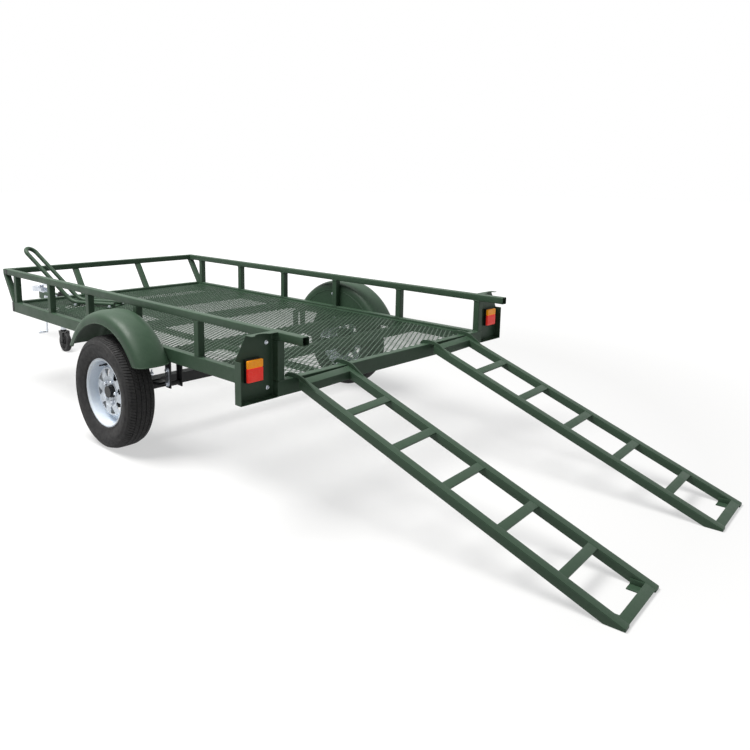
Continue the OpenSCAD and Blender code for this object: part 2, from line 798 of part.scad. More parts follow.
module jockey_clamp() color(zinc) {
  pz = pole_z_at(jx) - pole / 2;
  box([jx - clamp_half, -pole / 2 - clamp_t, pz - clamp_half], [jx + clamp_half, -pole / 2, pz + clamp_half]);
  difference() {
    union() {
      box([jx - clamp_arm, jy + leg_r - wall, pz - clamp_h / 2],
        [jx + clamp_arm, -pole / 2 - clamp_t, pz + clamp_h / 2]);
      translate([jx, jy, pz - clamp_h / 2]) cylinder(r = leg_r + collar_t, h = clamp_h);
    }
    translate([jx, jy, pz - clamp_h]) cylinder(r = leg_r + collar_gap, h = 2 * clamp_h);
  }
}

// height of the drawbar's top face at x on its sloped stretch
function pole_z_at(x) = tongue_z + (pole_top - pole_dip - tongue_z) * (x - pole_end - pole_bend)
  / (x_front - pole_end - 2 * pole_bend);

crank_boss = 18;
crank_z = leg_top - crank_boss - 6;
boss_len = 16;
crank_r = 8;
crank_gap = 0.06;
leg_cap_h = 6;
leg_cap_over = 2;
leg_cap_top = 60;

module jockey_outer_tube() color(black) difference() {
  union() {
    translate([jx, jy, leg_bot]) cylinder(r = leg_r, h = leg_len);
    rod_y(jx, crank_z, crank_boss, jy - leg_r - boss_len, jy);
    translate([jx, jy, leg_top]) cylinder(r = leg_r + leg_cap_over, h = leg_cap_h);
  }
  translate([jx, jy, leg_bot - 1]) cylinder(r = leg_r - wall, h = leg_len - leg_cap_top + 1);
  rod_y(jx, crank_z, crank_r + crank_gap, jy - leg_r - boss_len - 4, jy - leg_r + crank_r);
}

king_r = 10;
king_h = 60;
king_gap = 0.06;
yoke_t = 8;

module jockey_inner_tube() color(zinc) difference() {
  translate([jx, jy, fork_z + yoke_t + 1]) cylinder(r = inner_r, h = inner_len);
  translate([jx, jy, fork_z + yoke_t]) cylinder(r = king_r + king_gap, h = king_h);
}

fork_t = 4;
fork_w = jockey_w / 2 + 6;
axle_off = 28;
fork_half = 24;
fork_nose = 14;
roller_pin_r = 6;
roller_gap = 0.06;
roller_pin_out = 10;
fork_foot = 16;
king_len = king_h - yoke_t;

module jockey_fork() color(black) {
  translate([jx, jy, fork_z]) cylinder(r = king_r, h = king_len);
  translate([jx, jy, fork_z]) cylinder(r = fork_half, h = yoke_t);
  box([jx - fork_half, jy - fork_w - fork_t, fork_z - clamp_t],
    [jx + axle_off + fork_nose, jy + fork_w + fork_t, fork_z]);
  for (y0 = [jy - fork_w - fork_t, jy + fork_w])
    side(y0, y0 + fork_t) polygon([[jx - fork_half, fork_z], [jx + axle_off + fork_nose, fork_z],
      [jx + axle_off + fork_nose, jockey_r - fork_foot], [jx + axle_off - fork_nose, jockey_r - fork_foot]]);
  rod_y(jx + axle_off, jockey_r, roller_pin_r, jy - fork_w - roller_pin_out, jy + fork_w + roller_pin_out);
}

// half of the roller's profile: hub, web and rubber band
roller_web = 8;
roller_hub = 18;
roller_rim = 56;
roller_edge = 12;

module jockey_wheel() color([0.07, 0.07, 0.07])
  translate([jx + axle_off, jy, jockey_r]) rotate([90, 0, 0]) rotate_extrude($fn = 72) polygon(both([
    [roller_pin_r + roller_gap, jockey_w / 2], [roller_hub, jockey_w / 2], [roller_hub + 6, roller_web],
    [roller_rim - 6, roller_web], [roller_rim, jockey_w / 2 - 3], [jockey_r - 6, jockey_w / 2 - 3],
    [jockey_r, jockey_w / 2 - roller_edge]]));

crank_arm = 281;
crank_out = 100;
crank_half = 11;
crank_t = 8;
crank_end = 10;
grip_len = 62;
grip_r = 12;
grip_pin_r = 6;

module jockey_crank() color(zinc) {
  y0 = jy - leg_r - boss_len;
  rod_y(jx, crank_z, crank_r, y0 - crank_out, y0 + 20, 32);
  side(y0 - crank_out, y0 - crank_out + crank_t) polygon([[jx - crank_half, crank_z + crank_half + 1],
    [jx + crank_half, crank_z + crank_half + 1], [jx + crank_half - 2, crank_z - crank_arm - crank_end],
    [jx - crank_half + 2, crank_z - crank_arm - crank_end]]);
  rod_y(jx, crank_z - crank_arm, grip_pin_r, y0 - crank_out - grip_len - 2, y0 - crank_out + crank_t, 24);
  rod_y(jx, crank_z - crank_arm, grip_r, y0 - crank_out - grip_len, y0 - crank_out - 3, 24);
}

// wheel chock: one bent tube, two legs above the deck and a hoop leaning forward

chock_c = chock_gap / 2 + chock_r;
// the tubes sink this much into the strips that carry them
chock_sink = 1;
chock_z = mesh_top + seat + chock_strip + chock_r - chock_sink;
chock_hoop = chock_len - chock_c - chock_r;

// the bends are a little thicker than the straight lengths, which run into them
chock_bend = chock_r + 0.4;
chock_in = 1.5;

module chock_leg(y) {
  translate([-chock_in, y, 0]) rotate([0, 90, 0]) cylinder(r = chock_r, h = chock_rear + chock_in, $fn = 32);
  translate([0, y, chock_bend_r]) rotate([90, 0, 0]) rotate([0, 0, 270 - chock_lean])
    rotate_extrude(angle = chock_lean, $fn = 96) translate([chock_bend_r, 0]) circle(r = chock_bend, $fn = 32);
}

// a flat strip across both tubes, with a bolt hole beside each
module chock_base_bar(x) difference() {
  box([x, -chock_c - chock_r - chock_tab, mesh_top + seat - chock_z],
    [x + chock_strip_w, chock_c + chock_r + chock_tab, chock_sink - chock_r]);
  for (y = [-1, 1])
    translate([x + chock_strip_w / 2, y * (chock_c + chock_r + chock_tab / 2), mesh_top - chock_z])
      cylinder(r = chock_hole_r, h = chock_strip + 2, $fn = 32);
}

module wheel_chock() color(green)
  translate([x_front + chock_x, -chock_y, chock_z]) rotate([0, 0, chock_turn]) {
    for (s = [-1, 1]) chock_leg(s * chock_c);
    translate([-chock_bend_r * sin(chock_lean), 0, chock_bend_r * (1 - cos(chock_lean))])
      rotate([0, chock_lean - 90, 0]) {
        for (s = [-1, 1]) translate([0, s * chock_c, -chock_in])
          cylinder(r = chock_r, h = chock_hoop + 2 * chock_in, $fn = 32);
        translate([0, 0, chock_hoop]) rotate([90, 0, 90])
          rotate_extrude(angle = 180, $fn = 64) translate([chock_c, 0]) circle(r = chock_bend, $fn = 32);
      }
    chock_base_bar(-chock_strip_w * 0.75);
    chock_base_bar(chock_rear - chock_strip_w);
  }

// ramps, drawn with the top end at X = 0 and Y along their own middle, then laid in place

module lay_ramp(y) translate([x_rear - rail_w / 2, y, 0]) rotate([0, 0, ramp_skew])
  translate([rail_w / 2 + ramp_top_dx, 0, 0]) children();

// height of the ramp's top plane and of its underside at x
function ramp_top(x) = ramp_start_z - x * tan(ramp_slope);
function ramp_under(x) = ramp_top(x) - ramp_tube / cos(ramp_slope);

ramp_in = ramp_w / 2 - ramp_tube;
foot_x = (ramp_start_z - ramp_tube / cos(ramp_slope)) / tan(ramp_slope);

module ramp_rail(y) side(y - ramp_tube / 2, y + ramp_tube / 2) polygon([
  [0, ramp_start_z], [ramp_run, toe_h], [ramp_run, 0], [foot_x, 0], [0, ramp_under(0)]]);

// bars between the rails run a little way into them, just below their faces
module top_bar() side(-ramp_in - bar_in, ramp_in + bar_in) polygon([
  [bar_in, ramp_top(bar_in) - bar_in], [ramp_tube, ramp_top(ramp_tube) - bar_in],
  [ramp_tube, ramp_under(ramp_tube) + bar_in], [bar_in, ramp_under(bar_in) + bar_in]]);

module rung(s) translate([0, 0, ramp_start_z]) rotate([0, ramp_slope, 0])
  box([s, -ramp_in - bar_in, -ramp_tube + bar_in], [s + ramp_tube, ramp_in + bar_in, -bar_in]);

module toe_plate() translate([ramp_run, 0, toe_h]) rotate([0, ramp_slope, 0])
  box([-toe_plate_w, -ramp_in - bar_in, -toe_plate_t - bar_in / 2], [-bar_in, ramp_in + bar_in, -bar_in / 2]);

// angle pieces inside the rails stand the ramp's foot on the ground
module ramp_feet() for (s = [-1, 1]) {
  box([ramp_run - toe_back - toe_angle_l, min(s * ramp_in + s * bar_in, s * (ramp_in - toe_angle_w)), 0],
    [ramp_run - toe_back, max(s * ramp_in + s * bar_in, s * (ramp_in - toe_angle_w)), toe_angle_t]);
  box([ramp_run - toe_back - toe_angle_l, min(s * ramp_in + s * bar_in, s * (ramp_in - toe_angle_t)), 0],
    [ramp_run - toe_back, max(s * ramp_in + s * bar_in, s * (ramp_in - toe_angle_t)), toe_h]);
}

module ramp_frame() {
  for (s = [-1, 1]) ramp_rail(s * (ramp_w / 2 - ramp_tube / 2));
  top_bar();
  for (i = [1 : rung_count]) rung(i * rung_pitch);
  toe_plate();
  ramp_feet();
}

// the hook's nose clears the front of the rear rail, turned in plan
hook_x = -ramp_top_dx - rail_w - clear - 1 - ramp_w / 2 * sin(ramp_skew);
hook_under = deck_z + seat;

// hook plates arch over the rear rail and end in a nose in front of it
module hook(y) side(y - hook_t / 2, y + hook_t / 2) polygon([
  [hook_x, deck_z - nose_drop], [hook_x, hook_under], [-seat, hook_under], [-seat, ramp_start_z - 2],
  [0, ramp_start_z], [hook_len, ramp_top(hook_len)], [hook_len * 0.72, ramp_top(hook_len * 0.72) + hook_h * 0.4],
  [hook_len * 0.3, ramp_start_z + hook_h * 0.45], [0, hook_under + hook_h * 0.75],
  [hook_len * -0.3, hook_under + hook_h], [hook_x + nose_t, hook_under + hook_h * 0.9],
  [hook_x - nose_t * 0.5, hook_under + hook_h * 0.45], [hook_x - nose_t, hook_under - 1],
  [hook_x - nose_t, deck_z - nose_drop + 3], [hook_x - nose_t * 0.6, deck_z - nose_drop]]);

module ramp_hooks() for (s = [-1, 1]) hook(s * (ramp_w / 2 - hook_in));

module left_ramp_frame() color(green) lay_ramp(-ramp_y_left) ramp_frame();

module left_ramp_hooks() color(green) lay_ramp(-ramp_y_left) ramp_hooks();

module right_ramp_frame() color(green) lay_ramp(ramp_y_right) ramp_frame();

module right_ramp_hooks() color(green) lay_ramp(ramp_y_right) ramp_hooks();

left_side_rail();
right_side_rail();
front_cross_rail();
rear_cross_rail();
deck_cross_members();
mesh_deck_front();
mesh_deck_rear();
left_top_rail();
right_top_rail();
front_top_rail();
side_posts();
front_posts();
left_mudguard();
right_mudguard();
left_lamp_tray();
right_lamp_tray();
lamp_housings();
amber_lenses();
red_lenses();
axle_beam();
left_leaf_spring();
right_leaf_spring();
spring_hangers();
axle_u_bolts();
left_tyre();
left_rim();
left_hub();
right_tyre();
right_rim();
right_hub();
drawbar();
coupler_body();
coupler_handle();
jockey_clamp();
jockey_outer_tube();
jockey_inner_tube();
jockey_fork();
jockey_wheel();
jockey_crank();
wheel_chock();
left_ramp_frame();
left_ramp_hooks();
right_ramp_frame();
right_ramp_hooks();
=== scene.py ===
"""Looks of a flat-bed trailer for all-terrain vehicles, standing on its hook-on ladder ramps."""

import json
import math

import bmesh
import bpy
from mathutils import Matrix, Vector

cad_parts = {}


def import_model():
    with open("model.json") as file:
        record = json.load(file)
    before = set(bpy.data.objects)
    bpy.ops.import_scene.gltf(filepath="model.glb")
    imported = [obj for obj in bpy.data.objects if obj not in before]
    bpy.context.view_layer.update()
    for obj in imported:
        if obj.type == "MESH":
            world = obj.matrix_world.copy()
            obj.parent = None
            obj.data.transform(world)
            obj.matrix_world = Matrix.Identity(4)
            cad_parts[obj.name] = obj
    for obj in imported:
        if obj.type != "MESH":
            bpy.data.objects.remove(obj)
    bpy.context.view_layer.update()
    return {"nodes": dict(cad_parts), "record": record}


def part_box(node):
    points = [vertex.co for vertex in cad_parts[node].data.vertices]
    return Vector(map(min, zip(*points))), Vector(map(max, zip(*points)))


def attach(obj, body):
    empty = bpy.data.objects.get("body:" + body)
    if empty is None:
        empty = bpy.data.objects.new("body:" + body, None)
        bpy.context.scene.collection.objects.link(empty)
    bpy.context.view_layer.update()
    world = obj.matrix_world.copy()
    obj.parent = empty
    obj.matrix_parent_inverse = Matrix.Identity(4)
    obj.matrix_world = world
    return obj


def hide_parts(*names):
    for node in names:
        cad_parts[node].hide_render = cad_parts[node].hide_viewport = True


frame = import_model()
NODES = frame["nodes"]
MM = 0.001


# Materials. Each is a Principled surface with its own colour variation and bump, and all but the lens with
# roughness variation.


def noise(tree, coords, scale, detail, rough=0.55):
    """A noise texture over the object's own coordinates."""
    node = tree.nodes.new("ShaderNodeTexNoise")
    node.inputs["Scale"].default_value = scale
    node.inputs["Detail"].default_value = detail
    node.inputs["Roughness"].default_value = rough
    tree.links.new(coords, node.inputs["Vector"])
    return node.outputs["Fac"]


def ramp(tree, fac, low, high, stops=(0.35, 0.65)):
    """A colour ramp from low to high between two stops."""
    node = tree.nodes.new("ShaderNodeValToRGB")
    for element, place, colour in zip(node.color_ramp.elements, stops, (low, high)):
        element.position = place
        element.color = (*colour, 1.0)
    tree.links.new(fac, node.inputs["Fac"])
    return node.outputs["Color"]


def spread(tree, fac, low, high, start=0.3, end=0.7):
    """Maps a texture value to a range."""
    node = tree.nodes.new("ShaderNodeMapRange")
    for name, value in (("From Min", start), ("From Max", end), ("To Min", low), ("To Max", high)):
        node.inputs[name].default_value = value
    tree.links.new(fac, node.inputs["Value"])
    return node.outputs["Result"]


def mix_colour(tree, fac, first, second):
    """Mixes two colours by a value."""
    node = tree.nodes.new("ShaderNodeMix")
    node.data_type = "RGBA"
    tree.links.new(fac, node.inputs["Factor"])
    tree.links.new(first, node.inputs["A"])
    tree.links.new(second, node.inputs["B"])
    return node.outputs["Result"]


def bump(tree, height, strength, distance, normal=None):
    """A bump from a height texture, on top of an earlier one."""
    node = tree.nodes.new("ShaderNodeBump")
    node.inputs["Strength"].default_value = strength
    node.inputs["Distance"].default_value = distance
    tree.links.new(height, node.inputs["Height"])
    if normal is not None:
        tree.links.new(normal, node.inputs["Normal"])
    return node.outputs["Normal"]


def new_material(name, **constants):
    """A material with a Principled shader, and its object coordinates."""
    mat = bpy.data.materials.new(name)
    mat.use_nodes = True
    tree = mat.node_tree
    shader = tree.nodes["Principled BSDF"]
    for socket, value in constants.items():
        shader.inputs[socket.replace("_", " ")].default_value = value
    coords = tree.nodes.new("ShaderNodeTexCoord").outputs["Object"]
    return mat, tree, shader, coords


def powder_coat(name, dark, light, rough=(0.4, 0.54)):
    """Powder coat: slow changes of tone, a little dust, and fine orange peel."""
    mat, tree, shader, coords = new_material(name, Specular_IOR_Level=0.28)
    tone = ramp(tree, noise(tree, coords, scale=2.3, detail=5.0), dark, light)
    dust = [c * 1.22 + 0.006 for c in light]
    dusty = ramp(tree, noise(tree, coords, scale=38.0, detail=6.0, rough=0.7), dark, dust, stops=(0.3, 0.8))
    fleck = spread(tree, noise(tree, coords, scale=7.0, detail=4.0), low=0.15, high=0.55)
    tree.links.new(mix_colour(tree, fleck, tone, dusty), shader.inputs["Base Color"])
    gloss = spread(tree, noise(tree, coords, scale=14.0, detail=5.0), *rough)
    tree.links.new(gloss, shader.inputs["Roughness"])
    peel = bump(tree, noise(tree, coords, scale=620.0, detail=2.0), strength=0.22, distance=0.4 * MM)
    wavy = noise(tree, coords, scale=45.0, detail=3.0)
    flow = bump(tree, wavy, strength=0.05, distance=2 * MM, normal=peel)
    tree.links.new(flow, shader.inputs["Normal"])
    return mat


def plated(name, dark, light):
    """Zinc plate: crystal patches that differ a little in tone and polish."""
    mat, tree, shader, coords = new_material(name, Metallic=0.92)
    cells = tree.nodes.new("ShaderNodeTexVoronoi")
    cells.inputs["Scale"].default_value = 160.0
    tree.links.new(coords, cells.inputs["Vector"])
    patch = spread(tree, cells.outputs["Distance"], low=0.0, high=1.0, start=0.1, end=0.8)
    tree.links.new(ramp(tree, patch, dark, light, stops=(0.1, 0.9)), shader.inputs["Base Color"])
    polish = spread(tree, noise(tree, coords, scale=90.0, detail=4.0), low=0.24, high=0.42)
    tree.links.new(polish, shader.inputs["Roughness"])
    grain = bump(tree, noise(tree, coords, scale=500.0, detail=3.0), strength=0.12, distance=0.3 * MM)
    tree.links.new(grain, shader.inputs["Normal"])
    return mat


def rubber(name, dark, light, grain=900.0, rough=(0.62, 0.85)):
    """Rubber: a fine grain, with dusty patches."""
    mat, tree, shader, coords = new_material(name, Specular_IOR_Level=0.35)
    dusty = ramp(tree, noise(tree, coords, scale=24.0, detail=6.0, rough=0.65), dark, light)
    tree.links.new(dusty, shader.inputs["Base Color"])
    gloss = spread(tree, noise(tree, coords, scale=60.0, detail=4.0), *rough)
    tree.links.new(gloss, shader.inputs["Roughness"])
    fine = bump(tree, noise(tree, coords, scale=grain, detail=3.0), strength=0.3, distance=0.4 * MM)
    tree.links.new(fine, shader.inputs["Normal"])
    return mat


def lens(name, dark, light):
    """A moulded lens: saturated plastic over a fine grid of prisms, with a little light of its own."""
    mat, tree, shader, coords = new_material(
        name, Roughness=0.35, Specular_IOR_Level=0.3, Coat_Weight=0.1, Coat_Roughness=0.1,
        Subsurface_Weight=0.25, Subsurface_Radius=(0.004, 0.002, 0.001),
        Emission_Color=(*light, 1.0), Emission_Strength=0.3)
    tone = ramp(tree, noise(tree, coords, scale=55.0, detail=3.0), dark, light)
    tree.links.new(tone, shader.inputs["Base Color"])
    waves = []
    for axis in ("Y", "Z"):
        wave = tree.nodes.new("ShaderNodeTexWave")
        wave.bands_direction = axis
        wave.wave_profile = "SIN"
        wave.inputs["Scale"].default_value = 42.0
        tree.links.new(coords, wave.inputs["Vector"])
        waves.append(wave.outputs["Fac"])
    normal = None
    for wave in waves:
        normal = bump(tree, wave, strength=0.5, distance=1.2 * MM, normal=normal)
    tree.links.new(normal, shader.inputs["Normal"])
    return mat


SLOT_MATERIAL = {
    "green_paint": powder_coat("green_powder_coat", (0.029, 0.060, 0.035), (0.041, 0.079, 0.047)),
    "black_paint": powder_coat("black_paint", (0.011, 0.012, 0.012), (0.020, 0.021, 0.022),
                               rough=(0.32, 0.5)),
    "white_rim": powder_coat("white_rim_paint", (0.82, 0.89, 0.97), (0.86, 0.92, 0.99), rough=(0.2, 0.32)),
    "black_hub": powder_coat("black_hub_paint", (0.010, 0.011, 0.012), (0.018, 0.019, 0.021),
                             rough=(0.22, 0.36)),
    "zinc_plate": plated("zinc_plate", (0.50, 0.54, 0.60), (0.74, 0.77, 0.82)),
    "tyre_rubber": rubber("tyre_rubber", (0.018, 0.018, 0.019), (0.034, 0.033, 0.033)),
    "roller_rubber": rubber("roller_rubber", (0.012, 0.012, 0.013), (0.026, 0.026, 0.027), grain=700.0,
                            rough=(0.5, 0.7)),
    "black_plastic": rubber("black_plastic", (0.010, 0.010, 0.011), (0.018, 0.018, 0.018), grain=500.0,
                            rough=(0.38, 0.55)),
    "amber_lens": lens("amber_lens", (0.94, 0.27, 0.008), (1.0, 0.38, 0.014)),
    "red_lens": lens("red_lens", (0.86, 0.024, 0.018), (0.96, 0.045, 0.028)),
}


# Mesh helpers


def make_piece(name, verts, faces, slot, body, stands_for, smooth_deg=None, recalc=True):
    """A mesh piece that rides on a body and stands for CAD nodes. Edges over smooth_deg stay sharp."""
    mesh = bpy.data.meshes.new(name)
    mesh.from_pydata([tuple(v) for v in verts], [], faces)
    if recalc:
        bm = bmesh.new()
        bm.from_mesh(mesh)
        bmesh.ops.recalc_face_normals(bm, faces=bm.faces)
        bm.to_mesh(mesh)
        bm.free()
    piece = bpy.data.objects.new(name, mesh)
    bpy.context.scene.collection.objects.link(piece)
    mesh.materials.append(SLOT_MATERIAL[slot])
    if smooth_deg is not None:
        mesh.shade_smooth()
        mesh.set_sharp_from_angle(angle=math.radians(smooth_deg))
    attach(piece, body)
    if stands_for:
        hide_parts(*stands_for)


class Parts:
    """Collects the vertices and faces of many small shapes into one mesh."""

    def __init__(self):
        self.verts = []
        self.faces = []

    def add(self, verts, faces):
        base = len(self.verts)
        self.verts.extend(Vector(v) for v in verts)
        self.faces.extend([base + i for i in face] for face in faces)

    def add_bmesh(self, bm):
        bm.verts.index_update()
        self.add([v.co.copy() for v in bm.verts], [[v.index for v in f.verts] for f in bm.faces])
        bm.free()

    def join(self, other):
        self.add(other.verts, other.faces)


def in_mm(profile):
    """A profile's points, given in millimetres, in metres."""
    return [(a * MM, b * MM) for a, b in profile]


def loft(rings, caps=True):
    """Faces between closed rings of equal length, with a face over each end unless caps is off."""
    n = len(rings[0])
    verts = [v for ring in rings for v in ring]
    faces = []
    for i in range(len(rings) - 1):
        for j in range(n):
            k = (j + 1) % n
            faces.append([i * n + j, i * n + k, (i + 1) * n + k, (i + 1) * n + j])
    if caps:
        faces.append(list(range(n))[::-1])
        faces.append([(len(rings) - 1) * n + j for j in range(n)])
    return verts, faces


def rounded_rect(width, height, radius, steps=3):
    """Corner-rounded rectangle about the origin, as points in a plane."""
    points = []
    for sx, sy, start in ((1, 1, 0), (-1, 1, 90), (-1, -1, 180), (1, -1, 270)):
        for i in range(steps + 1):
            a = math.radians(start + 90 * i / steps)
            points.append((sx * (width / 2 - radius) + radius * math.cos(a),
                           sy * (height / 2 - radius) + radius * math.sin(a)))
    return points


BEVEL_FROM = math.radians(25)


def bevelled(bm, width, segments):
    """Rounds the edges of a bmesh that turn by more than BEVEL_FROM."""
    edges = [e for e in bm.edges if len(e.link_faces) == 2 and e.calc_face_angle(0) > BEVEL_FROM]
    bmesh.ops.bevel(bm, geom=edges, offset=width, segments=segments, profile=0.7, affect="EDGES",
                    clamp_overlap=True)


def prism(outline, depth, width, matrix, segments=2):
    """A closed outline in X and Z, extruded by depth about Y = 0. Its edges are rounded by width."""
    bm = bmesh.new()
    n = len(outline)
    near = [bm.verts.new((x, -depth / 2, z)) for x, z in outline]
    far = [bm.verts.new((x, depth / 2, z)) for x, z in outline]
    bm.faces.new(near)
    bm.faces.new(far[::-1])
    for i in range(n):
        bm.faces.new((near[i], far[i], far[(i + 1) % n], near[(i + 1) % n]))
    bmesh.ops.recalc_face_normals(bm, faces=bm.faces)
    if width:
        bevelled(bm, width, segments)
    bm.transform(matrix)
    return bm


def block(low, high, width=0.0, matrix=None, segments=2):
    """A box from corner to corner. Its edges are rounded by width."""
    (x0, y0, z0), (x1, y1, z1) = low, high
    shift = Matrix.Translation((0, (y0 + y1) / 2, 0))
    whole = shift if matrix is None else matrix @ shift
    return prism([(x0, z0), (x1, z0), (x1, z1), (x0, z1)], y1 - y0, width, whole, segments)


def turned(profile, centre, steps, mirror=1):
    """A closed profile of (radius, sideways) points turned about an axle along Y."""
    rings = []
    for i in range(steps):
        a = 2 * math.pi * i / steps
        rings.append([Vector((centre[0] + r * math.cos(a), centre[1] + mirror * y,
                              centre[2] + r * math.sin(a))) for r, y in profile])
    n = len(profile)
    verts = [v for ring in rings for v in ring]
    faces = []
    for i in range(steps):
        k = (i + 1) % steps
        for j in range(n):
            m = (j + 1) % n
            faces.append([i * n + j, k * n + j, k * n + m, i * n + m])
    return verts, faces


def standing(place, axis):
    """The matrix that stands Z along an axis at a place."""
    turn = Vector((0, 0, 1)).rotation_difference(Vector(axis)).to_matrix().to_4x4()
    return Matrix.Translation(place) @ turn


def ring_about(matrix, radius, z, sides):
    """Points of a circle about Z at a height, moved by a matrix."""
    turns = [2 * math.pi * i / sides for i in range(sides)]
    return [matrix @ Vector((radius * math.cos(a), radius * math.sin(a), z)) for a in turns]


# A nut's levels, and the foot of the dome on it, as shares of its radius and height
NUT_LEVELS = ((0.93, 0.0), (1.0, 0.12), (1.0, 0.8), (0.86, 1.0))
DOME_FOOT = (0.74, 0.98)
# The dome's rings end just short of its top
DOME_TURNS = [math.radians(90 * k / 5.2) for k in range(6)]
ROUND_SIDES = 20


def hexagon_nut(centre, axis, radius, height, dome=0.0):
    """A nut with chamfered corners and, if asked, a domed top, standing along an axis."""
    place = standing(centre, axis)
    out = Parts()
    out.add(*loft([ring_about(place, radius * r, height * z, 6) for r, z in NUT_LEVELS]))
    if dome:
        foot_r, foot_z = radius * DOME_FOOT[0], height * DOME_FOOT[1]
        out.add(*loft([ring_about(place, foot_r * math.cos(a), foot_z + dome * math.sin(a), ROUND_SIDES)
                       for a in DOME_TURNS]))
    return out


def round_bar(points, radius, sides):
    """A round bar along a line of points, with flat ends."""
    points = [Vector(p) for p in points]
    turns = [2 * math.pi * k / sides for k in range(sides)]
    rings = []
    side = None
    for i, p in enumerate(points):
        ahead = (points[min(i + 1, len(points) - 1)] - points[max(i - 1, 0)]).normalized()
        if side is None:
            side = ahead.orthogonal().normalized()
        side = (side - ahead * side.dot(ahead)).normalized()
        up = ahead.cross(side)
        rings.append([p + radius * (math.cos(a) * side + math.sin(a) * up) for a in turns])
    return loft(rings)


# Carried-over CAD nodes: rounded edges by modifiers, and the slot's material

WELD_WITHIN = 0.02 * MM
FLAT_WITHIN = math.radians(0.6)
EDGE_FROM = math.radians(28)


def soften(node, width):
    """Rounds a CAD node's sharp edges with modifiers. Its own mesh stays as it is."""
    piece = NODES[node]
    weld = piece.modifiers.new("weld", "WELD")
    weld.merge_threshold = WELD_WITHIN
    flat = piece.modifiers.new("flat", "DECIMATE")
    flat.decimate_type = "DISSOLVE"
    flat.angle_limit = FLAT_WITHIN
    edge = piece.modifiers.new("edge", "BEVEL")
    edge.width = width
    edge.segments = 2
    edge.limit_method = "ANGLE"
    edge.angle_limit = EDGE_FROM
    edge.harden_normals = False
    piece.data.shade_smooth()
    smooth = piece.modifiers.new("normals", "WEIGHTED_NORMAL")
    smooth.keep_sharp = True


for row in frame["record"]["subparts"]:
    node = NODES[row["node"]]
    node.data.materials.clear()
    node.data.materials.append(SLOT_MATERIAL[row["material_slot"]])

# Widths of the rounded edges in mm. The nodes not listed here are drawn anew below.
EDGE_WIDTH = {
    "left_side_rail": 3.5, "right_side_rail": 3.5, "front_cross_rail": 3.5, "rear_cross_rail": 3.5,
    "deck_cross_members": 2.5, "front_top_rail": 4.0, "side_posts": 3.5,
    "front_posts": 3.5, "left_lamp_tray": 0.9, "right_lamp_tray": 0.9, "lamp_housings": 4.5,
    "axle_beam": 1.5, "left_leaf_spring": 0.8, "right_leaf_spring": 0.8, "spring_hangers": 0.8,
    "axle_u_bolts": 0.7, "drawbar": 3.5, "coupler_body": 1.4, "coupler_handle": 2.0,
    "jockey_clamp": 1.2, "jockey_outer_tube": 1.0, "jockey_inner_tube": 0.6, "jockey_fork": 0.9,
    "jockey_crank": 1.2, "wheel_chock": 0.8, "left_ramp_hooks": 1.4, "right_ramp_hooks": 1.4,
    "left_hub": 0.8, "right_hub": 0.8, "left_rim": 0.6, "right_rim": 0.6,
}
for node, width in EDGE_WIDTH.items():
    soften(node, width * MM)


# Top rails: open-ended square tube with rounded corners

TUBE_WALL = 2.5 * MM
TUBE_CORNER = 4.5 * MM
TUBE_CHAMFER = 0.6 * MM


def square_tube_x(name, node):
    """An open square tube along X that stands for a CAD tube of the same size."""
    low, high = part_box(node)
    side_y, side_z = high.y - low.y, high.z - low.z
    middle = (low + high) / 2
    outer = rounded_rect(side_y, side_z, TUBE_CORNER, 4)
    inner = rounded_rect(side_y - 2 * TUBE_WALL, side_z - 2 * TUBE_WALL, TUBE_CORNER - TUBE_WALL, 4)
    rings = []
    for section, xs in ((outer, (low.x + TUBE_CHAMFER, high.x - TUBE_CHAMFER)), (inner, (high.x, low.x))):
        for x in xs:
            rings.append([Vector((x, middle.y + u, middle.z + v)) for u, v in section])
    verts, faces = loft(rings + [rings[0]], caps=False)
    make_piece(name, verts, faces, "green_paint", "trailer", (node,), smooth_deg=40)


square_tube_x("left_top_rail_tube", "left_top_rail")
square_tube_x("right_top_rail_tube", "right_top_rail")


# Expanded mesh of the deck

MESH_LONG = 50 * MM
MESH_SHORT = 30 * MM
STRAND = 5.4 * MM
STRAND_T = 2.5 * MM
STRAND_TILT = math.radians(-6)
KNUCKLE = 8 * MM
KNUCKLE_WIDE = 1.45
MESH_END = 3 * MM
SELVEDGE_LAP = 2 * MM
SELVEDGE_DROP = 0.5 * MM


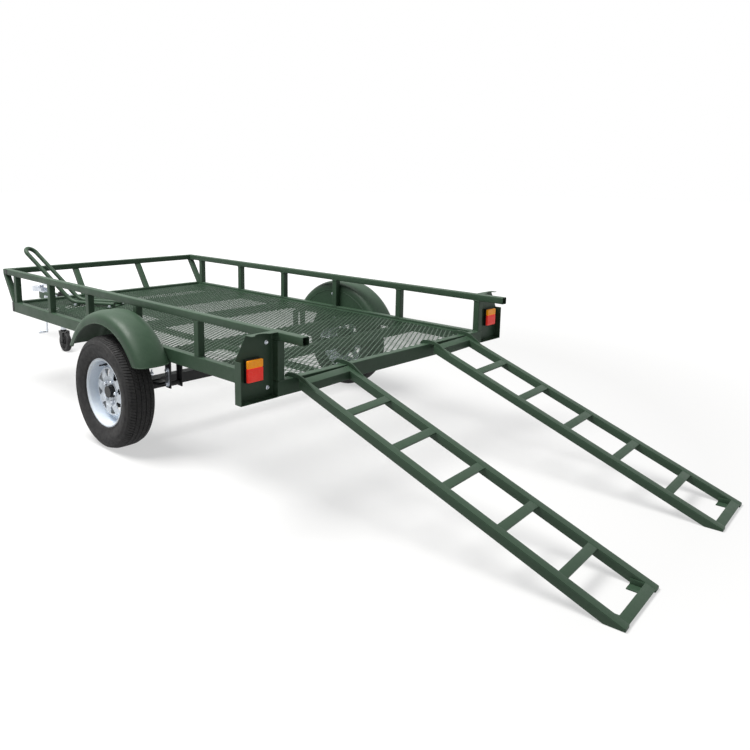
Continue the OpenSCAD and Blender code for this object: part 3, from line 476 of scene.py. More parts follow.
def expanded_mesh(name, node):
    """Rows of diamonds, long way across the bed: a flat knuckle at each crossing and four strands from it."""
    low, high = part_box(node)
    z = (low.z + high.z) / 2
    length = high.x - low.x - 2 * MESH_END
    rows = round(length / (MESH_SHORT / 2))
    pitch = length / rows
    count = int((high.y - low.y) / MESH_LONG)
    span = count * MESH_LONG
    half_w = Vector((math.cos(STRAND_TILT), 0, math.sin(STRAND_TILT))) * STRAND / 2
    half_t = Vector((-math.sin(STRAND_TILT), 0, math.cos(STRAND_TILT))) * STRAND_T / 2
    out = Parts()

    def bar(a, b, wide=1.0):
        across = half_w * wide
        ring = [-across - half_t, across - half_t, across + half_t, -across + half_t]
        verts = [a + r for r in ring] + [b + r for r in ring]
        out.add(verts, [[0, 1, 5, 4], [1, 2, 6, 5], [2, 3, 7, 6], [3, 0, 4, 7]])

    for i in range(rows + 1):
        x = low.x + MESH_END + i * pitch
        shift = (i % 2) * MESH_LONG / 2
        for j in range(count + 1 - i % 2):
            y = -span / 2 + shift + j * MESH_LONG
            middle = Vector((x, y, z))
            bar(middle - Vector((0, KNUCKLE / 2, 0)), middle + Vector((0, KNUCKLE / 2, 0)), KNUCKLE_WIDE)
            if i == rows:
                continue
            for s in (-1, 1):
                y_to = y + s * MESH_LONG / 2
                if abs(y_to) > span / 2 + 1e-6:
                    continue
                bar(middle + Vector((0, s * KNUCKLE / 2, 0)), Vector((x + pitch, y_to - s * KNUCKLE / 2, z)))
    for s in (-1, 1):
        ys = sorted((s * (span / 2 - SELVEDGE_LAP), s * high.y))
        out.add_bmesh(block((low.x, ys[0], low.z), (high.x, ys[1], high.z - SELVEDGE_DROP)))
    make_piece(name, out.verts, out.faces, "green_paint", "trailer", (node,), recalc=False)


expanded_mesh("mesh_deck_front_strands", "mesh_deck_front")
expanded_mesh("mesh_deck_rear_strands", "mesh_deck_rear")


# Tyres with a block tread

RIM_R = 174 * MM
TREAD_DEPTH = 7 * MM
CROWN_FLAT, CROWN_HALF, SHOULDER = 46 * MM, 66 * MM, 83 * MM
CROWN_FALL, SHOULDER_FALL, SHOULDER_POWER = 1.5 * MM, 30 * MM, 2.2
CROWN_STEPS = 14
TYRE_STEPS = 144

TREAD_BLOCKS = 112
# Each rib of blocks: its three lines in mm from the middle, then lean, start and length in block pitches
RIBS = (
    ((-42, -66, -74), 0.42, 0.0, 0.82),
    ((-38, -26.5, -15), -0.55, 0.62, 0.90),
    ((-11, 0, 11), 0.50, 0.22, 0.90),
    ((15, 26.5, 38), -0.55, 0.84, 0.90),
    ((42, 66, 74), -0.42, 0.41, 0.82),
)
BLOCK_TAPER, BLOCK_INSET = 0.035, 0.006
BLOCK_ROOT = 1.5 * MM
SHOULDER_DROP = 1.8 * MM


def crown(y, radius):
    """Radius of the tread's surface at a distance from the tyre's middle."""
    if abs(y) <= CROWN_FLAT:
        return radius - (abs(y) / CROWN_FLAT) ** 2 * CROWN_FALL
    t = (abs(y) - CROWN_FLAT) / (SHOULDER - CROWN_FLAT)
    return radius - CROWN_FALL - SHOULDER_FALL * t ** SHOULDER_POWER


def tread_blocks(out, centre, radius):
    """Five ribs of blocks. A block has nine points on top, and the eight outer ones again at its foot."""
    def at(angle, y, r):
        return Vector((centre.x + r * math.cos(angle), centre.y + y, centre.z + r * math.sin(angle)))

    step = 2 * math.pi / TREAD_BLOCKS
    around = [0, 1, 2, 5, 8, 7, 6, 3]
    faces = [[0, 1, 4, 3], [1, 2, 5, 4], [3, 4, 7, 6], [4, 5, 8, 7]]
    faces += [[around[i], 9 + i, 9 + (i + 1) % 8, around[(i + 1) % 8]] for i in range(8)]
    for lines, skew, start, length in RIBS:
        for k in range(TREAD_BLOCKS):
            a0 = (k + start) * step
            a1 = a0 + step * length
            top, foot = [], []
            for n, line in enumerate(lines):
                y = line * MM
                lean = skew * step * (abs(n - 1) - 0.5 if lines[1] == 0 else n - 1)
                y_top = y if n == 1 else y * (1 - BLOCK_INSET)
                surface = crown(y, radius) - (SHOULDER_DROP if abs(y) > CROWN_HALF else 0.0)
                for a, inward in ((a0, 1), ((a0 + a1) / 2, 0), (a1, -1)):
                    top.append(at(a + lean + BLOCK_TAPER * step * inward, y_top, surface))
                    foot.append(at(a + lean, y, min(crown(y, radius - TREAD_DEPTH), surface) - BLOCK_ROOT))
            out.add(top + [foot[i] for i in around], faces)


def tyre(side):
    """A radial tyre: a turned carcass with rings on its sidewalls, and a block tread."""
    node = side + "_tyre"
    low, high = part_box(node)
    centre = (low + high) / 2
    radius = (high.z - low.z) / 2
    half = (high.y - low.y) / 2
    base = radius - TREAD_DEPTH
    crown_ys = [-CROWN_HALF + 2 * CROWN_HALF * i / CROWN_STEPS for i in range(CROWN_STEPS + 1)]
    # Radius and distance from the middle, from the tread's edge down the sidewall to the bead's toe
    wall = [(base - 16 * MM, 76.5 * MM), (base - 26 * MM, half - 2.2 * MM), (base - 44 * MM, half),
            (base - 60 * MM, half - 0.8 * MM), (base - 76 * MM, half - 6 * MM),
            (base - 90 * MM, half - 12 * MM), (base - 96 * MM, half - 13.5 * MM),
            (base - 99 * MM, half - 17 * MM), (RIM_R + 16.5 * MM, 61.5 * MM),
            (RIM_R + 13.5 * MM, 57.4 * MM), (RIM_R + 8 * MM, 56 * MM), (RIM_R, 50 * MM)]
    profile = [(crown(y, base), y) for y in crown_ys] + wall + [(r, -y) for r, y in reversed(wall)]
    out = Parts()
    out.add(*turned(profile, centre, TYRE_STEPS))
    for ring_r, ring_y, size in ((base - 31 * MM, half - 0.4 * MM, 1.2 * MM),
                                 (base - 37 * MM, half - 0.2 * MM, 0.9 * MM),
                                 (RIM_R + 22 * MM, 67.5 * MM, 1.5 * MM)):
        ring = [(ring_r + across * size, min(ring_y + up * size, half))
                for across, up in ((-1.6, -1), (-0.6, 0.2), (0.6, 0.2), (1.6, -1))]
        for s in (-1, 1):
            out.add(*turned(ring, centre, TYRE_STEPS, mirror=s))
    tread_blocks(out, centre, radius)
    make_piece(side + "_tyre_tread", out.verts, out.faces, "tyre_rubber", side + "_wheel", (node,),
               smooth_deg=30)
    return centre, -1 if side == "left" else 1


# Each wheel's centre, and the direction in Y that is outward from it
WHEELS = {side: tyre(side) for side in ("left", "right")}


# Wheel nuts and valve

NUT_CIRCLE = 114.3 / 2 * MM
NUT_COUNT = 5
NUT_FACE = 12 * MM
NUT_R, NUT_HIGH, NUT_DOME = 11.5 * MM, 14 * MM, 8 * MM
VALVE_R, VALVE_OUT, VALVE_TURN = 152 * MM, 2 * MM, math.radians(122)
# Profiles in mm: radius, and distance outward along the wheel's axle
COLLAR = in_mm([(13.5, -0.5), (13.5, 1.5), (11, 4), (6, 4), (6, -0.5)])
VALVE = in_mm([(0.2, -12), (7.5, -12), (8, 0), (5, 4), (4.2, 22), (4.8, 23), (4.8, 33), (3, 34), (0.2, 34)])


def wheel_trim(side):
    """Plated nuts over the studs, and a rubber valve beside the disc."""
    centre, out_sign = WHEELS[side]

    def spot(angle, radius, outward):
        return centre + Vector((radius * math.cos(angle), out_sign * outward, radius * math.sin(angle)))

    nuts = Parts()
    for i in range(NUT_COUNT):
        seat = spot(2 * math.pi * i / NUT_COUNT, NUT_CIRCLE, NUT_FACE)
        nuts.join(hexagon_nut(seat, (0, out_sign, 0), NUT_R, NUT_HIGH, NUT_DOME))
        nuts.add(*turned(COLLAR, seat, steps=24, mirror=out_sign))
    make_piece(side + "_wheel_nuts", nuts.verts, nuts.faces, "zinc_plate", side + "_wheel", (), smooth_deg=35)
    verts, faces = turned(VALVE, spot(VALVE_TURN, VALVE_R, VALVE_OUT), steps=20, mirror=out_sign)
    make_piece(side + "_tyre_valve", verts, faces, "roller_rubber", side + "_wheel", (), smooth_deg=35)


for side in WHEELS:
    wheel_trim(side)


# Mudguards

# The section's power: 1 would make it half an ellipse, and less makes it squarer
GUARD_POWER = 0.62
GUARD_EDGE_DROP = 63 * MM
GUARD_T = 3 * MM
GUARD_INNER, GUARD_OUTER = 1 * MM, 3 * MM
SECTION_STEPS, ARC_STEPS, PLATE_STEPS = 36, 64, 40
# Rolled edges: the roll's radius, and its distance in from the shell's edge or up from its level end
EDGE_ROLL, EDGE_ROLL_IN = 3.4 * MM, 1.5 * MM
END_ROLL, END_ROLL_UP = 2.6 * MM, 2.8 * MM
# The pressed rib along the plate: its radius, distance from the plate's rim, rise, start and sweep
RIB_R, RIB_IN, RIB_RISE = 3.2 * MM, 26 * MM, 1.2 * MM
RIB_FROM, RIB_SWEEP = 38, 104
PLATE_OVER, PLATE_UP = 2 * MM, 0.2 * MM


def mudguard(side):
    """A rounded arch with rolled edges and level ends, and the flat plate between it and the bed's side."""
    node = side + "_mudguard"
    low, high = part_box(node)
    wheel, out_sign = WHEELS[side]
    crown_r = high.z - wheel.z
    edge_r = crown_r - GUARD_EDGE_DROP
    y_in, y_out = sorted((low.y, high.y), key=abs)
    y_in += out_sign * GUARD_INNER
    y_out -= out_sign * GUARD_OUTER
    middle, half = (y_in + y_out) / 2, abs(y_out - y_in) / 2

    def section(thick):
        points = []
        for i in range(SECTION_STEPS + 1):
            t = math.pi * i / SECTION_STEPS
            c, s = math.cos(t), math.sin(t)
            r = edge_r + (crown_r - edge_r) * abs(s) ** GUARD_POWER - thick * abs(s)
            y = (half - thick) * math.copysign(abs(c) ** GUARD_POWER, c)
            points.append((r, y))
        return points

    def on_arch(r, y, k, lift=0.0):
        """A point of the section, from one level end to the other."""
        start = math.asin((low.z + lift - wheel.z) / r)
        a = start + (math.pi - 2 * start) * k / ARC_STEPS
        return Vector((wheel.x + r * math.cos(a), middle + y, wheel.z + r * math.sin(a)))

    outline = section(0.0) + section(GUARD_T)[::-1]
    out = Parts()
    out.add(*loft([[on_arch(r, out_sign * y, k) for r, y in outline] for k in range(ARC_STEPS + 1)]))
    for s in (-1, 1):
        line = [on_arch(edge_r, s * (half - EDGE_ROLL_IN), k, EDGE_ROLL) for k in range(ARC_STEPS + 1)]
        out.add(*round_bar(line, EDGE_ROLL, sides=12))
    for k in (0, ARC_STEPS):
        line = [on_arch(r - GUARD_T / 2, y, k, END_ROLL_UP) for r, y in section(0.0)[1:-1]]
        out.add(*round_bar(line, END_ROLL, sides=10))
    plate_r = edge_r + PLATE_OVER
    a0 = math.asin((low.z + PLATE_UP - wheel.z) / plate_r)
    plate_turns = [a0 + (math.pi - 2 * a0) * k / PLATE_STEPS for k in range(PLATE_STEPS + 1)]
    plate = [(wheel.x + plate_r * math.cos(a), wheel.z + plate_r * math.sin(a)) for a in plate_turns]
    y_plate = y_in + out_sign * GUARD_T / 2
    out.add_bmesh(prism(plate, GUARD_T, 0.0, Matrix.Translation((0, y_plate, 0))))
    rib_r, rib_y = plate_r - RIB_IN, y_plate + out_sign * RIB_RISE
    rib_turns = [math.radians(RIB_FROM + RIB_SWEEP * k / PLATE_STEPS) for k in range(PLATE_STEPS + 1)]
    rib = [(wheel.x + rib_r * math.cos(a), rib_y, wheel.z + rib_r * math.sin(a)) for a in rib_turns]
    out.add(*round_bar(rib, RIB_R, sides=10))
    make_piece(side + "_mudguard_shell", out.verts, out.faces, "green_paint", "trailer", (node,),
               smooth_deg=38)


for side in WHEELS:
    mudguard(side)


# Ramps

RAMP_SLOPE = math.radians(21.1)
RAMP_SKEW = math.radians(4)
RAMP_WIDTH = 345 * MM
RAMP_TUBE = 38 * MM
RUNG_PITCH = 257 * MM
RUNG_COUNT = 5
RUNG_DEEP = 10 * MM
TOE_HEIGHT = 12 * MM
TOE_BACK = 36 * MM
# The bars run into the rails by BAR_LAP, and their faces lie FACE_DROP inside the rails' faces
BAR_LAP, FACE_DROP = 1.5 * MM, 1.0 * MM
RAIL_EDGE, BAR_EDGE, RUNG_EDGE, PLATE_EDGE = 3.2 * MM, 2.5 * MM, 1.6 * MM, 0.8 * MM
TOE_PLATE = in_mm([(-40, -5.5), (-1, -0.5)])
# The angle feet: their length, and width and height of the flange and of the web
FOOT_LONG = 54 * MM
FOOT_PLATES = in_mm([(44, 4), (4, 24)])
RUNG_BEAD, RUNG_BEAD_STEPS = 2.4 * MM, 4
RAMP_INNER = RAMP_WIDTH / 2 - RAMP_TUBE
BAR_REACH = RAMP_INNER + BAR_LAP
RUNGS = [(i * RUNG_PITCH, i * RUNG_PITCH + RAMP_TUBE) for i in range(1, RUNG_COUNT + 1)]


def ramp_place(side):
    """A ramp's own frame, X from its top end, Y from its middle, Z from the ground, and its top's height."""
    low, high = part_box(side + "_ramp_frame")
    start_x = low.x + RAMP_WIDTH / 2 * math.sin(RAMP_SKEW)
    start_y = low.y + RAMP_WIDTH / 2 * math.cos(RAMP_SKEW)
    return Matrix.Translation((start_x, start_y, 0)) @ Matrix.Rotation(RAMP_SKEW, 4, "Z"), high.z


def sloped(place, x, z):
    """A ramp's frame moved to a point of its top face and turned down the slope."""
    return place @ (Matrix.Translation((x, 0, z)) @ Matrix.Rotation(RAMP_SLOPE, 4, "Y"))


def ramp_feet(out, place, end):
    """Angle pieces inside the rails, up to a distance along the ramp."""
    for s in (-1, 1):
        for wide, tall in FOOT_PLATES:
            ys = sorted((s * BAR_REACH, s * (RAMP_INNER - wide)))
            out.add_bmesh(block((end - FOOT_LONG, ys[0], 0.0), (end, ys[1], tall), PLATE_EDGE, place))


def ladder_ramp(side):
    """Two rails, a top bar, five rungs, a toe plate and the feet, each with rounded edges."""
    place, top_z = ramp_place(side)
    slope = math.tan(RAMP_SLOPE)
    run = (top_z - TOE_HEIGHT) / slope
    deep = RAMP_TUBE / math.cos(RAMP_SLOPE)
    out = Parts()
    rail = [(0, top_z), (run, TOE_HEIGHT), (run, 0), ((top_z - deep) / slope, 0), (0, top_z - deep)]
    for s in (-1, 1):
        shift = Matrix.Translation((0, s * (RAMP_WIDTH / 2 - RAMP_TUBE / 2), 0))
        out.add_bmesh(prism(rail, RAMP_TUBE, RAIL_EDGE, place @ shift))
    bar_z = top_z - RAMP_TUBE * slope
    bar = [(FACE_DROP, top_z - FACE_DROP), (RAMP_TUBE, bar_z - FACE_DROP),
           (RAMP_TUBE, bar_z - deep + FACE_DROP), (FACE_DROP, top_z - deep + FACE_DROP)]
    out.add_bmesh(prism(bar, 2 * BAR_REACH, BAR_EDGE, place))
    lean = sloped(place, 0, top_z)
    for x0, x1 in RUNGS:
        out.add_bmesh(block((x0, -BAR_REACH, -RUNG_DEEP), (x1, BAR_REACH, -FACE_DROP), RUNG_EDGE, lean))
    (x0, z0), (x1, z1) = TOE_PLATE
    toe = sloped(place, run, TOE_HEIGHT)
    out.add_bmesh(block((x0, -BAR_REACH, z0), (x1, BAR_REACH, z1), PLATE_EDGE, toe))
    ramp_feet(out, place, run - TOE_BACK)
    make_piece(side + "_ramp_ladder", out.verts, out.faces, "green_paint", side + "_ramp",
               (side + "_ramp_frame",), smooth_deg=32)


def ramp_welds(side):
    """A short bead at each corner where a rung meets a rail."""
    place, top_z = ramp_place(side)
    lean = sloped(place, 0, top_z)
    rise = (RUNG_DEEP - 2 * FACE_DROP) / RUNG_BEAD_STEPS
    zs = [-RUNG_DEEP + k * rise for k in range(RUNG_BEAD_STEPS + 1)]
    beads = Parts()
    for xs in RUNGS:
        for s in (-1, 1):
            for x in xs:
                line = [lean @ Vector((x, s * RAMP_INNER, z)) for z in zs]
                beads.add(*round_bar(line, RUNG_BEAD, sides=8))
    make_piece(side + "_ramp_welds", beads.verts, beads.faces, "green_paint", side + "_ramp", (),
               smooth_deg=60)


for side in WHEELS:
    ladder_ramp(side)
    ramp_welds(side)


# Tail lamps' lenses, with rounded edges

LENS_LAP = 3 * MM
LENS_EDGE = 6 * MM


def lamp_lenses(node, slot):
    """Rounded lens blocks in place of the plain ones, one on each side."""
    low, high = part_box(node)
    out = Parts()
    from_middle = [-v.co.y for v in NODES[node].data.vertices if v.co.y < 0]
    for s in (-1, 1):
        ys = sorted((s * min(from_middle), s * max(from_middle)))
        out.add_bmesh(block((low.x, ys[0] - LENS_LAP, low.z), (high.x, ys[1] + LENS_LAP, high.z), LENS_EDGE,
                            segments=4))
    make_piece(node + "_moulded", out.verts, out.faces, slot, "trailer", (node,), smooth_deg=40)


lamp_lenses("amber_lenses", "amber_lens")
lamp_lenses("red_lenses", "red_lens")


# Dark plugs in the ends of the front rails, and dark drums inside the wheels as painted shade behind the
# discs' windows

PLUG_WIDTH = 31 * MM
PLUG_INSET = 3 * MM
PLUG_CORNER = 4 * MM
# How far each of the plug's rings grows past its outline, and stands out of the rail's face, in mm
PLUG_RINGS = in_mm([(0.0, -0.5), (0.0, 0.6), (-1.2, 1.4)])
# The drum's profile in mm: radius, and distance outward from the wheel's middle
DRUM = in_mm([(37, -52), (37, -30), (76, -28), (80, -10), (90, -7), (94, -11), (94, -38), (97, -40),
              (97, -46), (90, -46), (86, -50)])


def end_plugs():
    """Shallow square plugs in the sides' front corners, where the front rails end."""
    out = Parts()
    for node in ("left_top_rail", "left_side_rail"):
        low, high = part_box(node)
        tall = high.z - low.z - 2 * PLUG_INSET
        x, z = low.x + PLUG_INSET + PLUG_WIDTH / 2, (low.z + high.z) / 2
        face = -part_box("left_side_rail")[0].y
        for s in (-1, 1):
            rings = []
            for grow, rise in PLUG_RINGS:
                outline = rounded_rect(PLUG_WIDTH + 2 * grow, tall + 2 * grow, PLUG_CORNER)
                rings.append([Vector((x + u, s * (face + rise), z + v)) for u, v in outline])
            out.add(*loft(rings))
    make_piece("front_rail_plugs", out.verts, out.faces, "black_plastic", "trailer", (), smooth_deg=35)


def window_shade_drum(side):
    """A small dark drum close behind the wheel's disc, a guessed part that puts painted shade in the disc's
    windows.
    """
    centre, out_sign = WHEELS[side]
    # The drum's dark paint stands in for the shade inside the wheel, seen through the disc's windows
    verts, faces = turned(DRUM, centre, steps=72, mirror=out_sign)
    make_piece(side + "_window_shade_drum", verts, faces, "black_hub", side + "_wheel", (), smooth_deg=30)


end_plugs()
for side in WHEELS:
    window_shade_drum(side)


# Weld beads, and the plated bolts, nuts and shackle plates

BEAD_R, BEAD_SIDES = 2.6 * MM, 8
BEAD_PITCH = 4.5 * MM
BEAD_LUMPS = (0.9, 1.16)
# A post's beads start BEAD_IN from its outer face and stand BEAD_RISE off the rail
POST_TUBE, BEAD_IN, BEAD_RISE = 38 * MM, 3 * MM, 0.4 * MM
# The bead between lamp tray and bed: its radius, its place in the corner, and its gap at both ends
TRAY_BEAD, TRAY_BEAD_X, TRAY_BEAD_Y = 3.2 * MM, 2 * MM, 0.5 * MM
TRAY_BEAD_FOOT, TRAY_BEAD_TOP = 4 * MM, 2 * MM
CORNER_BEAD, CORNER_BEAD_LONG = 2.2 * MM, 40 * MM

WASHER_WIDE, WASHER_T, WASHER_TOP = 1.45, 1.4 * MM, 1.8 * MM
# Radius and height of each bolt head or nut
TRAY_HEAD, GUARD_HEAD = (6.5 * MM, 6 * MM), (6.5 * MM, 5 * MM)
CHOCK_NUT, SHACKLE_NUT = (9 * MM, 9 * MM), (9.5 * MM, 9 * MM)
# The trays' bolts from the middle and the ground, and the thickness of the sheet behind them
TRAY_BOLTS, TRAY_T = in_mm([(815, 746), (809, 546)]), 3 * MM
# The chock's own frame from the bed's front, and its bolts in that frame
CHOCK_X, CHOCK_Y, CHOCK_TOP = 349 * MM, 436 * MM, 565.2 * MM
CHOCK_TURN = math.radians(30)
CHOCK_HOLES, CHOCK_HALF = (-10 * MM, 250 * MM), 78.5 * MM
# The rear shackle plates and the mudguards' bolts, from the axle, the middle and the ground
SHACKLE_X, SHACKLE_Y, SHACKLE_R = 310 * MM, 768 * MM, 15 * MM
SHACKLE_LOW, SHACKLE_HIGH, SHACKLE_T = 376 * MM, 452 * MM, 4 * MM
GUARD_BOLT = (-27 * MM, 651 * MM)


def bead(parts, start, end, radius=BEAD_R):
    """A slightly uneven weld bead along a straight line."""
    start, end = Vector(start), Vector(end)
    count = max(3, int((end - start).length / BEAD_PITCH))
    points = [start.lerp(end, k / count) for k in range(count + 1)]
    verts, faces = round_bar(points, radius, BEAD_SIDES)
    for i, v in enumerate(verts):
        k = i // BEAD_SIDES
        verts[i] = points[k] + (v - points[k]) * BEAD_LUMPS[k % 2]
    parts.add(verts, faces)


def bolt(parts, place, axis, radius, height):
    """A bolt head or nut on a washer."""
    spot = standing(place, axis)
    levels = ((radius * WASHER_WIDE, 0.0), (radius * WASHER_WIDE, WASHER_T), (radius, WASHER_TOP))
    parts.add(*loft([ring_about(spot, r, z, ROUND_SIDES) for r, z in levels]))
    parts.join(hexagon_nut(Vector(place) + Vector(axis) * WASHER_T, axis, radius, height))


def post_beads(welds):
    """Beads round the feet and the tops of the side posts."""
    low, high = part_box("side_posts")
    xs = sorted({round(v.co.x, 4) for v in NODES["side_posts"].data.vertices})
    for x0, x1 in zip(xs[0::2], xs[1::2]):
        for s in (-1, 1):
            outer, inner = s * (-low.y - BEAD_IN), s * (-low.y - POST_TUBE)
            lines = ((x0, outer), (x0, inner)), ((x1, outer), (x1, inner)), ((x0, inner), (x1, inner))
            for start, end in lines:
                for z in (low.z + BEAD_RISE, high.z - BEAD_RISE):
                    bead(welds, (*start, z), (*end, z))


def tray_details(welds, bolts):
    """Each lamp tray's bead on the bed's side, its two bolts, and the bead on the bed's rear corner."""
    half = -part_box("side_posts")[0].y
    rail_low, rail_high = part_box("rear_cross_rail")
    tray_low, tray_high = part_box("left_lamp_tray")
    for s in (-1, 1):
        x, y = tray_low.x + TRAY_BEAD_X, s * (half + TRAY_BEAD_Y)
        bead(welds, (x, y, tray_low.z + TRAY_BEAD_FOOT), (x, y, tray_high.z - TRAY_BEAD_TOP), TRAY_BEAD)
        for y, z in TRAY_BOLTS:
            bolt(bolts, (tray_low.x + TRAY_T, s * y, z), (1, 0, 0), *TRAY_HEAD)
        x, z = rail_low.x, rail_high.z
        bead(welds, (x, s * (half - CORNER_BEAD_LONG), z), (x, s * half, z), CORNER_BEAD)


def chock_bolts(bolts):
    """The bolts through the chock's two strips."""
    front_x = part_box("left_side_rail")[0].x
    place = Matrix.Translation((front_x + CHOCK_X, -CHOCK_Y, CHOCK_TOP))
    on_bed = place @ Matrix.Rotation(CHOCK_TURN, 4, "Z")
    for s in (-1, 1):
        for x in CHOCK_HOLES:
            bolt(bolts, on_bed @ Vector((x, s * CHOCK_HALF, 0)), (0, 0, 1), *CHOCK_NUT)


def guard_bolts(bolts):
    """A bolt on the inner face of each mudguard's plate."""
    x = WHEELS["left"][0].x + GUARD_BOLT[0]
    inner_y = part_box("right_mudguard")[0].y
    for s in (-1, 1):
        bolt(bolts, (x, s * inner_y, GUARD_BOLT[1]), (0, -s, 0), *GUARD_HEAD)


def shackle_plates(shackles):
    """A plate with round ends and two nuts on the outer face of each rear hanger."""
    x = WHEELS["left"][0].x + SHACKLE_X
    ends = ((SHACKLE_LOW, 180), (SHACKLE_HIGH, 0))
    for s in (-1, 1):
        plate = []
        for z, start in ends:
            turns = [math.radians(start + 15 * k) for k in range(13)]
            plate += [(x + SHACKLE_R * math.cos(a), z + SHACKLE_R * math.sin(a)) for a in turns]
        shift = Matrix.Translation((0, s * SHACKLE_Y, 0))
        shackles.add_bmesh(prism(plate, SHACKLE_T, PLATE_EDGE, shift))
        for z in (SHACKLE_LOW, SHACKLE_HIGH):
            bolt(shackles, (x, s * (SHACKLE_Y + SHACKLE_T / 2), z), (0, s, 0), *SHACKLE_NUT)


def frame_details():
    """The shackle plates, the beads and the bolts, each kind as one piece."""
    welds, bolts, shackles = Parts(), Parts(), Parts()
    post_beads(welds)
    tray_details(welds, bolts)
    chock_bolts(bolts)
    guard_bolts(bolts)
    shackle_plates(shackles)
    make_piece("shackle_plates", shackles.verts, shackles.faces, "zinc_plate", "trailer", (), smooth_deg=35)
    make_piece("frame_weld_beads", welds.verts, welds.faces, "green_paint", "trailer", (), smooth_deg=60)
    make_piece("frame_bolts", bolts.verts, bolts.faces, "zinc_plate", "trailer", (), smooth_deg=35)


frame_details()


# Jockey wheel tyre


def jockey_tyre():
    """A solid rubber wheel with a ribbed tread and a dished centre."""
    low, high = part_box("jockey_wheel")
    centre = (low + high) / 2
    r = (high.z - low.z) / 2
    w = (high.y - low.y) / 2
    # Radius and distance from the middle, from the axle's hole over one face to the middle of the tread
    half = [(6.3 * MM, -w), (17 * MM, -w), (19 * MM, -w + 2 * MM), (21 * MM, -9 * MM), (47 * MM, -8 * MM),
            (52 * MM, -w + 5 * MM), (56 * MM, -w + 3 * MM), (r - 9 * MM, -w + 2.6 * MM),
            (r - 4 * MM, -w + 5 * MM), (r - 1 * MM, -w + 9 * MM), (r, -w + 13 * MM), (r, -4.5 * MM),
            (r - 2.5 * MM, -3.5 * MM)]
    verts, faces = turned(half + [(radius, -y) for radius, y in reversed(half)], centre, steps=72)
    make_piece("jockey_wheel_tyre", verts, faces, "roller_rubber", "jockey_roller", ("jockey_wheel",),
               smooth_deg=35)


jockey_tyre()


# Stage: a pale floor that fades into a white background, soft lamps, and the camera

SKY_STRENGTH = 0.14
SKY_TINT = (0.94, 0.97, 1.0)
FLOOR_GREY = 0.38
FLOOR_HALF, FLOOR_Z = 60.0, -0.8 * MM
# The floor's own light towards the camera, near and far from the object, and where it starts and ends
FLOOR_LIFT = (0.56, 1.0)
FLOOR_FADE = (2.8, 6.5)


def calculate(tree, operation, first, second):
    """A math node's result for two values."""
    node = tree.nodes.new("ShaderNodeMath")
    node.operation = operation
    tree.links.new(first, node.inputs[0])
    tree.links.new(second, node.inputs[1])
    return node.outputs[0]


def past_object(tree):
    """1 for the camera's own rays and for rays off a glossy surface or through a clear one."""
    path = tree.nodes.new("ShaderNodeLightPath")
    value = path.outputs["Is Camera Ray"]
    for other in ("Is Glossy Ray", "Is Transmission Ray"):
        value = calculate(tree, "MAXIMUM", value, path.outputs[other])
    return value


def floor():
    """A wide pale floor that shows nearly white to the camera and keeps the object's shadow."""
    mesh = bpy.data.meshes.new("floor")
    corners = [(x * FLOOR_HALF, y * FLOOR_HALF, FLOOR_Z) for x, y in ((-1, -1), (1, -1), (1, 1), (-1, 1))]
    mesh.from_pydata(corners, [], [[0, 1, 2, 3]])
    plane = bpy.data.objects.new("floor", mesh)
    bpy.context.scene.collection.objects.link(plane)
    mat, tree, shader, coords = new_material(
        "floor_paint", Base_Color=(FLOOR_GREY, FLOOR_GREY, FLOOR_GREY, 1), Roughness=0.95,
        Specular_IOR_Level=0.1, Emission_Color=(1, 1, 1, 1))
    reach = tree.nodes.new("ShaderNodeVectorMath")
    reach.operation = "LENGTH"
    tree.links.new(coords, reach.inputs[0])
    lift = spread(tree, reach.outputs["Value"], *FLOOR_LIFT, *FLOOR_FADE)
    tree.links.new(calculate(tree, "MULTIPLY", past_object(tree), lift), shader.inputs["Emission Strength"])
    mesh.materials.append(mat)


def world():
    """Soft even light, and white where the camera or a mirror surface looks past the object."""
    sky = bpy.data.worlds.new("studio")
    bpy.context.scene.world = sky
    sky.use_nodes = True
    tree = sky.node_tree
    tree.nodes.clear()
    out = tree.nodes.new("ShaderNodeOutputWorld")
    mix = tree.nodes.new("ShaderNodeMixShader")
    tree.links.new(past_object(tree), mix.inputs["Fac"])
    for socket, colour, strength in ((1, SKY_TINT, SKY_STRENGTH), (2, (1, 1, 1), 1.0)):
        light = tree.nodes.new("ShaderNodeBackground")
        light.inputs["Color"].default_value = (*colour, 1)
        light.inputs["Strength"].default_value = strength
        tree.links.new(light.outputs[0], mix.inputs[socket])
    tree.links.new(mix.outputs[0], out.inputs["Surface"])


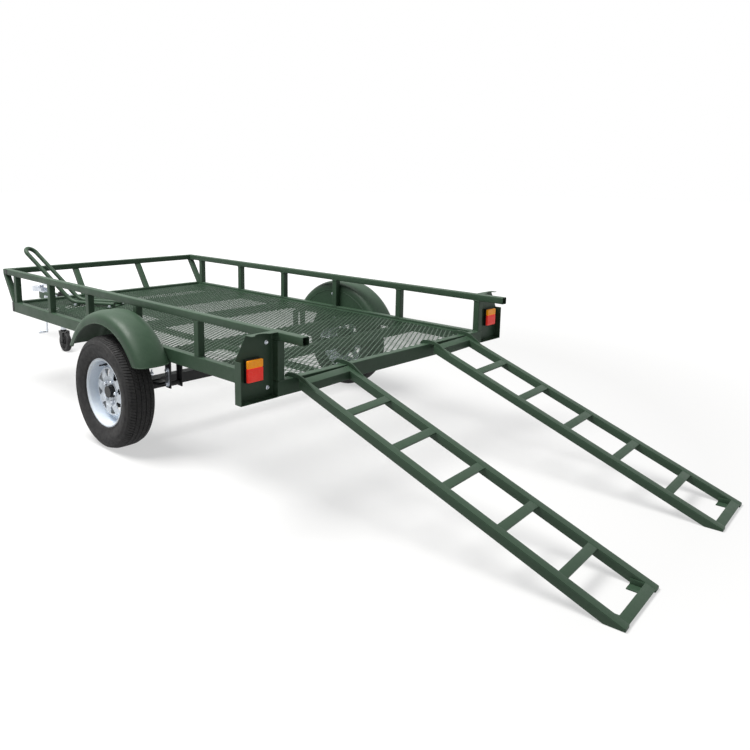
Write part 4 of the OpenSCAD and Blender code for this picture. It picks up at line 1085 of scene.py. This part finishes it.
def lamp(name, place, target, size, watts, colour):
    """A square soft lamp aimed at a point."""
    data = bpy.data.lights.new(name, "AREA")
    data.shape = "SQUARE"
    data.size = size
    data.energy = watts
    data.color = colour
    light = bpy.data.objects.new(name, data)
    bpy.context.scene.collection.objects.link(light)
    light.location = place
    light.rotation_euler = (Vector(target) - Vector(place)).to_track_quat("-Z", "Y").to_euler()


floor()
world()
lamp("key", place=(-1.2, -2.4, 7.8), target=(0.2, 0, 0.4), size=4.5, watts=1000, colour=(1.0, 0.99, 0.97))
lamp("fill", place=(4.5, -4.5, 3.0), target=(0.8, 0, 0.4), size=4.0, watts=10, colour=(0.94, 0.97, 1.0))

# The photograph's camera, found from the trailer's edges: place relative to the axle's middle on the ground
CAM_FROM_AXLE = Vector((3476.13, -2767.48, 1430.18)) * MM
CAM_YAW = math.radians(134.09)
CAM_PITCH = math.radians(-10.05)
CAM_ROLL = math.radians(0.67)
FOCAL_PX = 726.54
CENTRE_PX = (338.94, 308.40)
IMAGE_PX = 750
SENSOR = 36.0
CLIP_END = 200


def camera():
    """The camera at the photograph's view."""
    axle_x = WHEELS["left"][0].x
    ahead = Vector((math.cos(CAM_PITCH) * math.cos(CAM_YAW), math.cos(CAM_PITCH) * math.sin(CAM_YAW),
                    math.sin(CAM_PITCH)))
    right = ahead.cross(Vector((0, 0, 1))).normalized()
    up = right.cross(ahead)
    right_r = right * math.cos(CAM_ROLL) + up * math.sin(CAM_ROLL)
    up_r = up * math.cos(CAM_ROLL) - right * math.sin(CAM_ROLL)
    data = bpy.data.cameras.new("photo_camera")
    data.sensor_width = SENSOR
    data.lens = FOCAL_PX / IMAGE_PX * SENSOR
    data.shift_x = 0.5 - CENTRE_PX[0] / IMAGE_PX
    data.shift_y = CENTRE_PX[1] / IMAGE_PX - 0.5
    data.clip_end = CLIP_END
    cam = bpy.data.objects.new("photo_camera", data)
    bpy.context.scene.collection.objects.link(cam)
    place = Matrix((right_r, up_r, -ahead)).transposed().to_4x4()
    place.translation = CAM_FROM_AXLE + Vector((axle_x, 0, 0))
    cam.matrix_world = place
    bpy.context.scene.camera = cam


camera()
bpy.context.scene.view_settings.view_transform = "Standard"
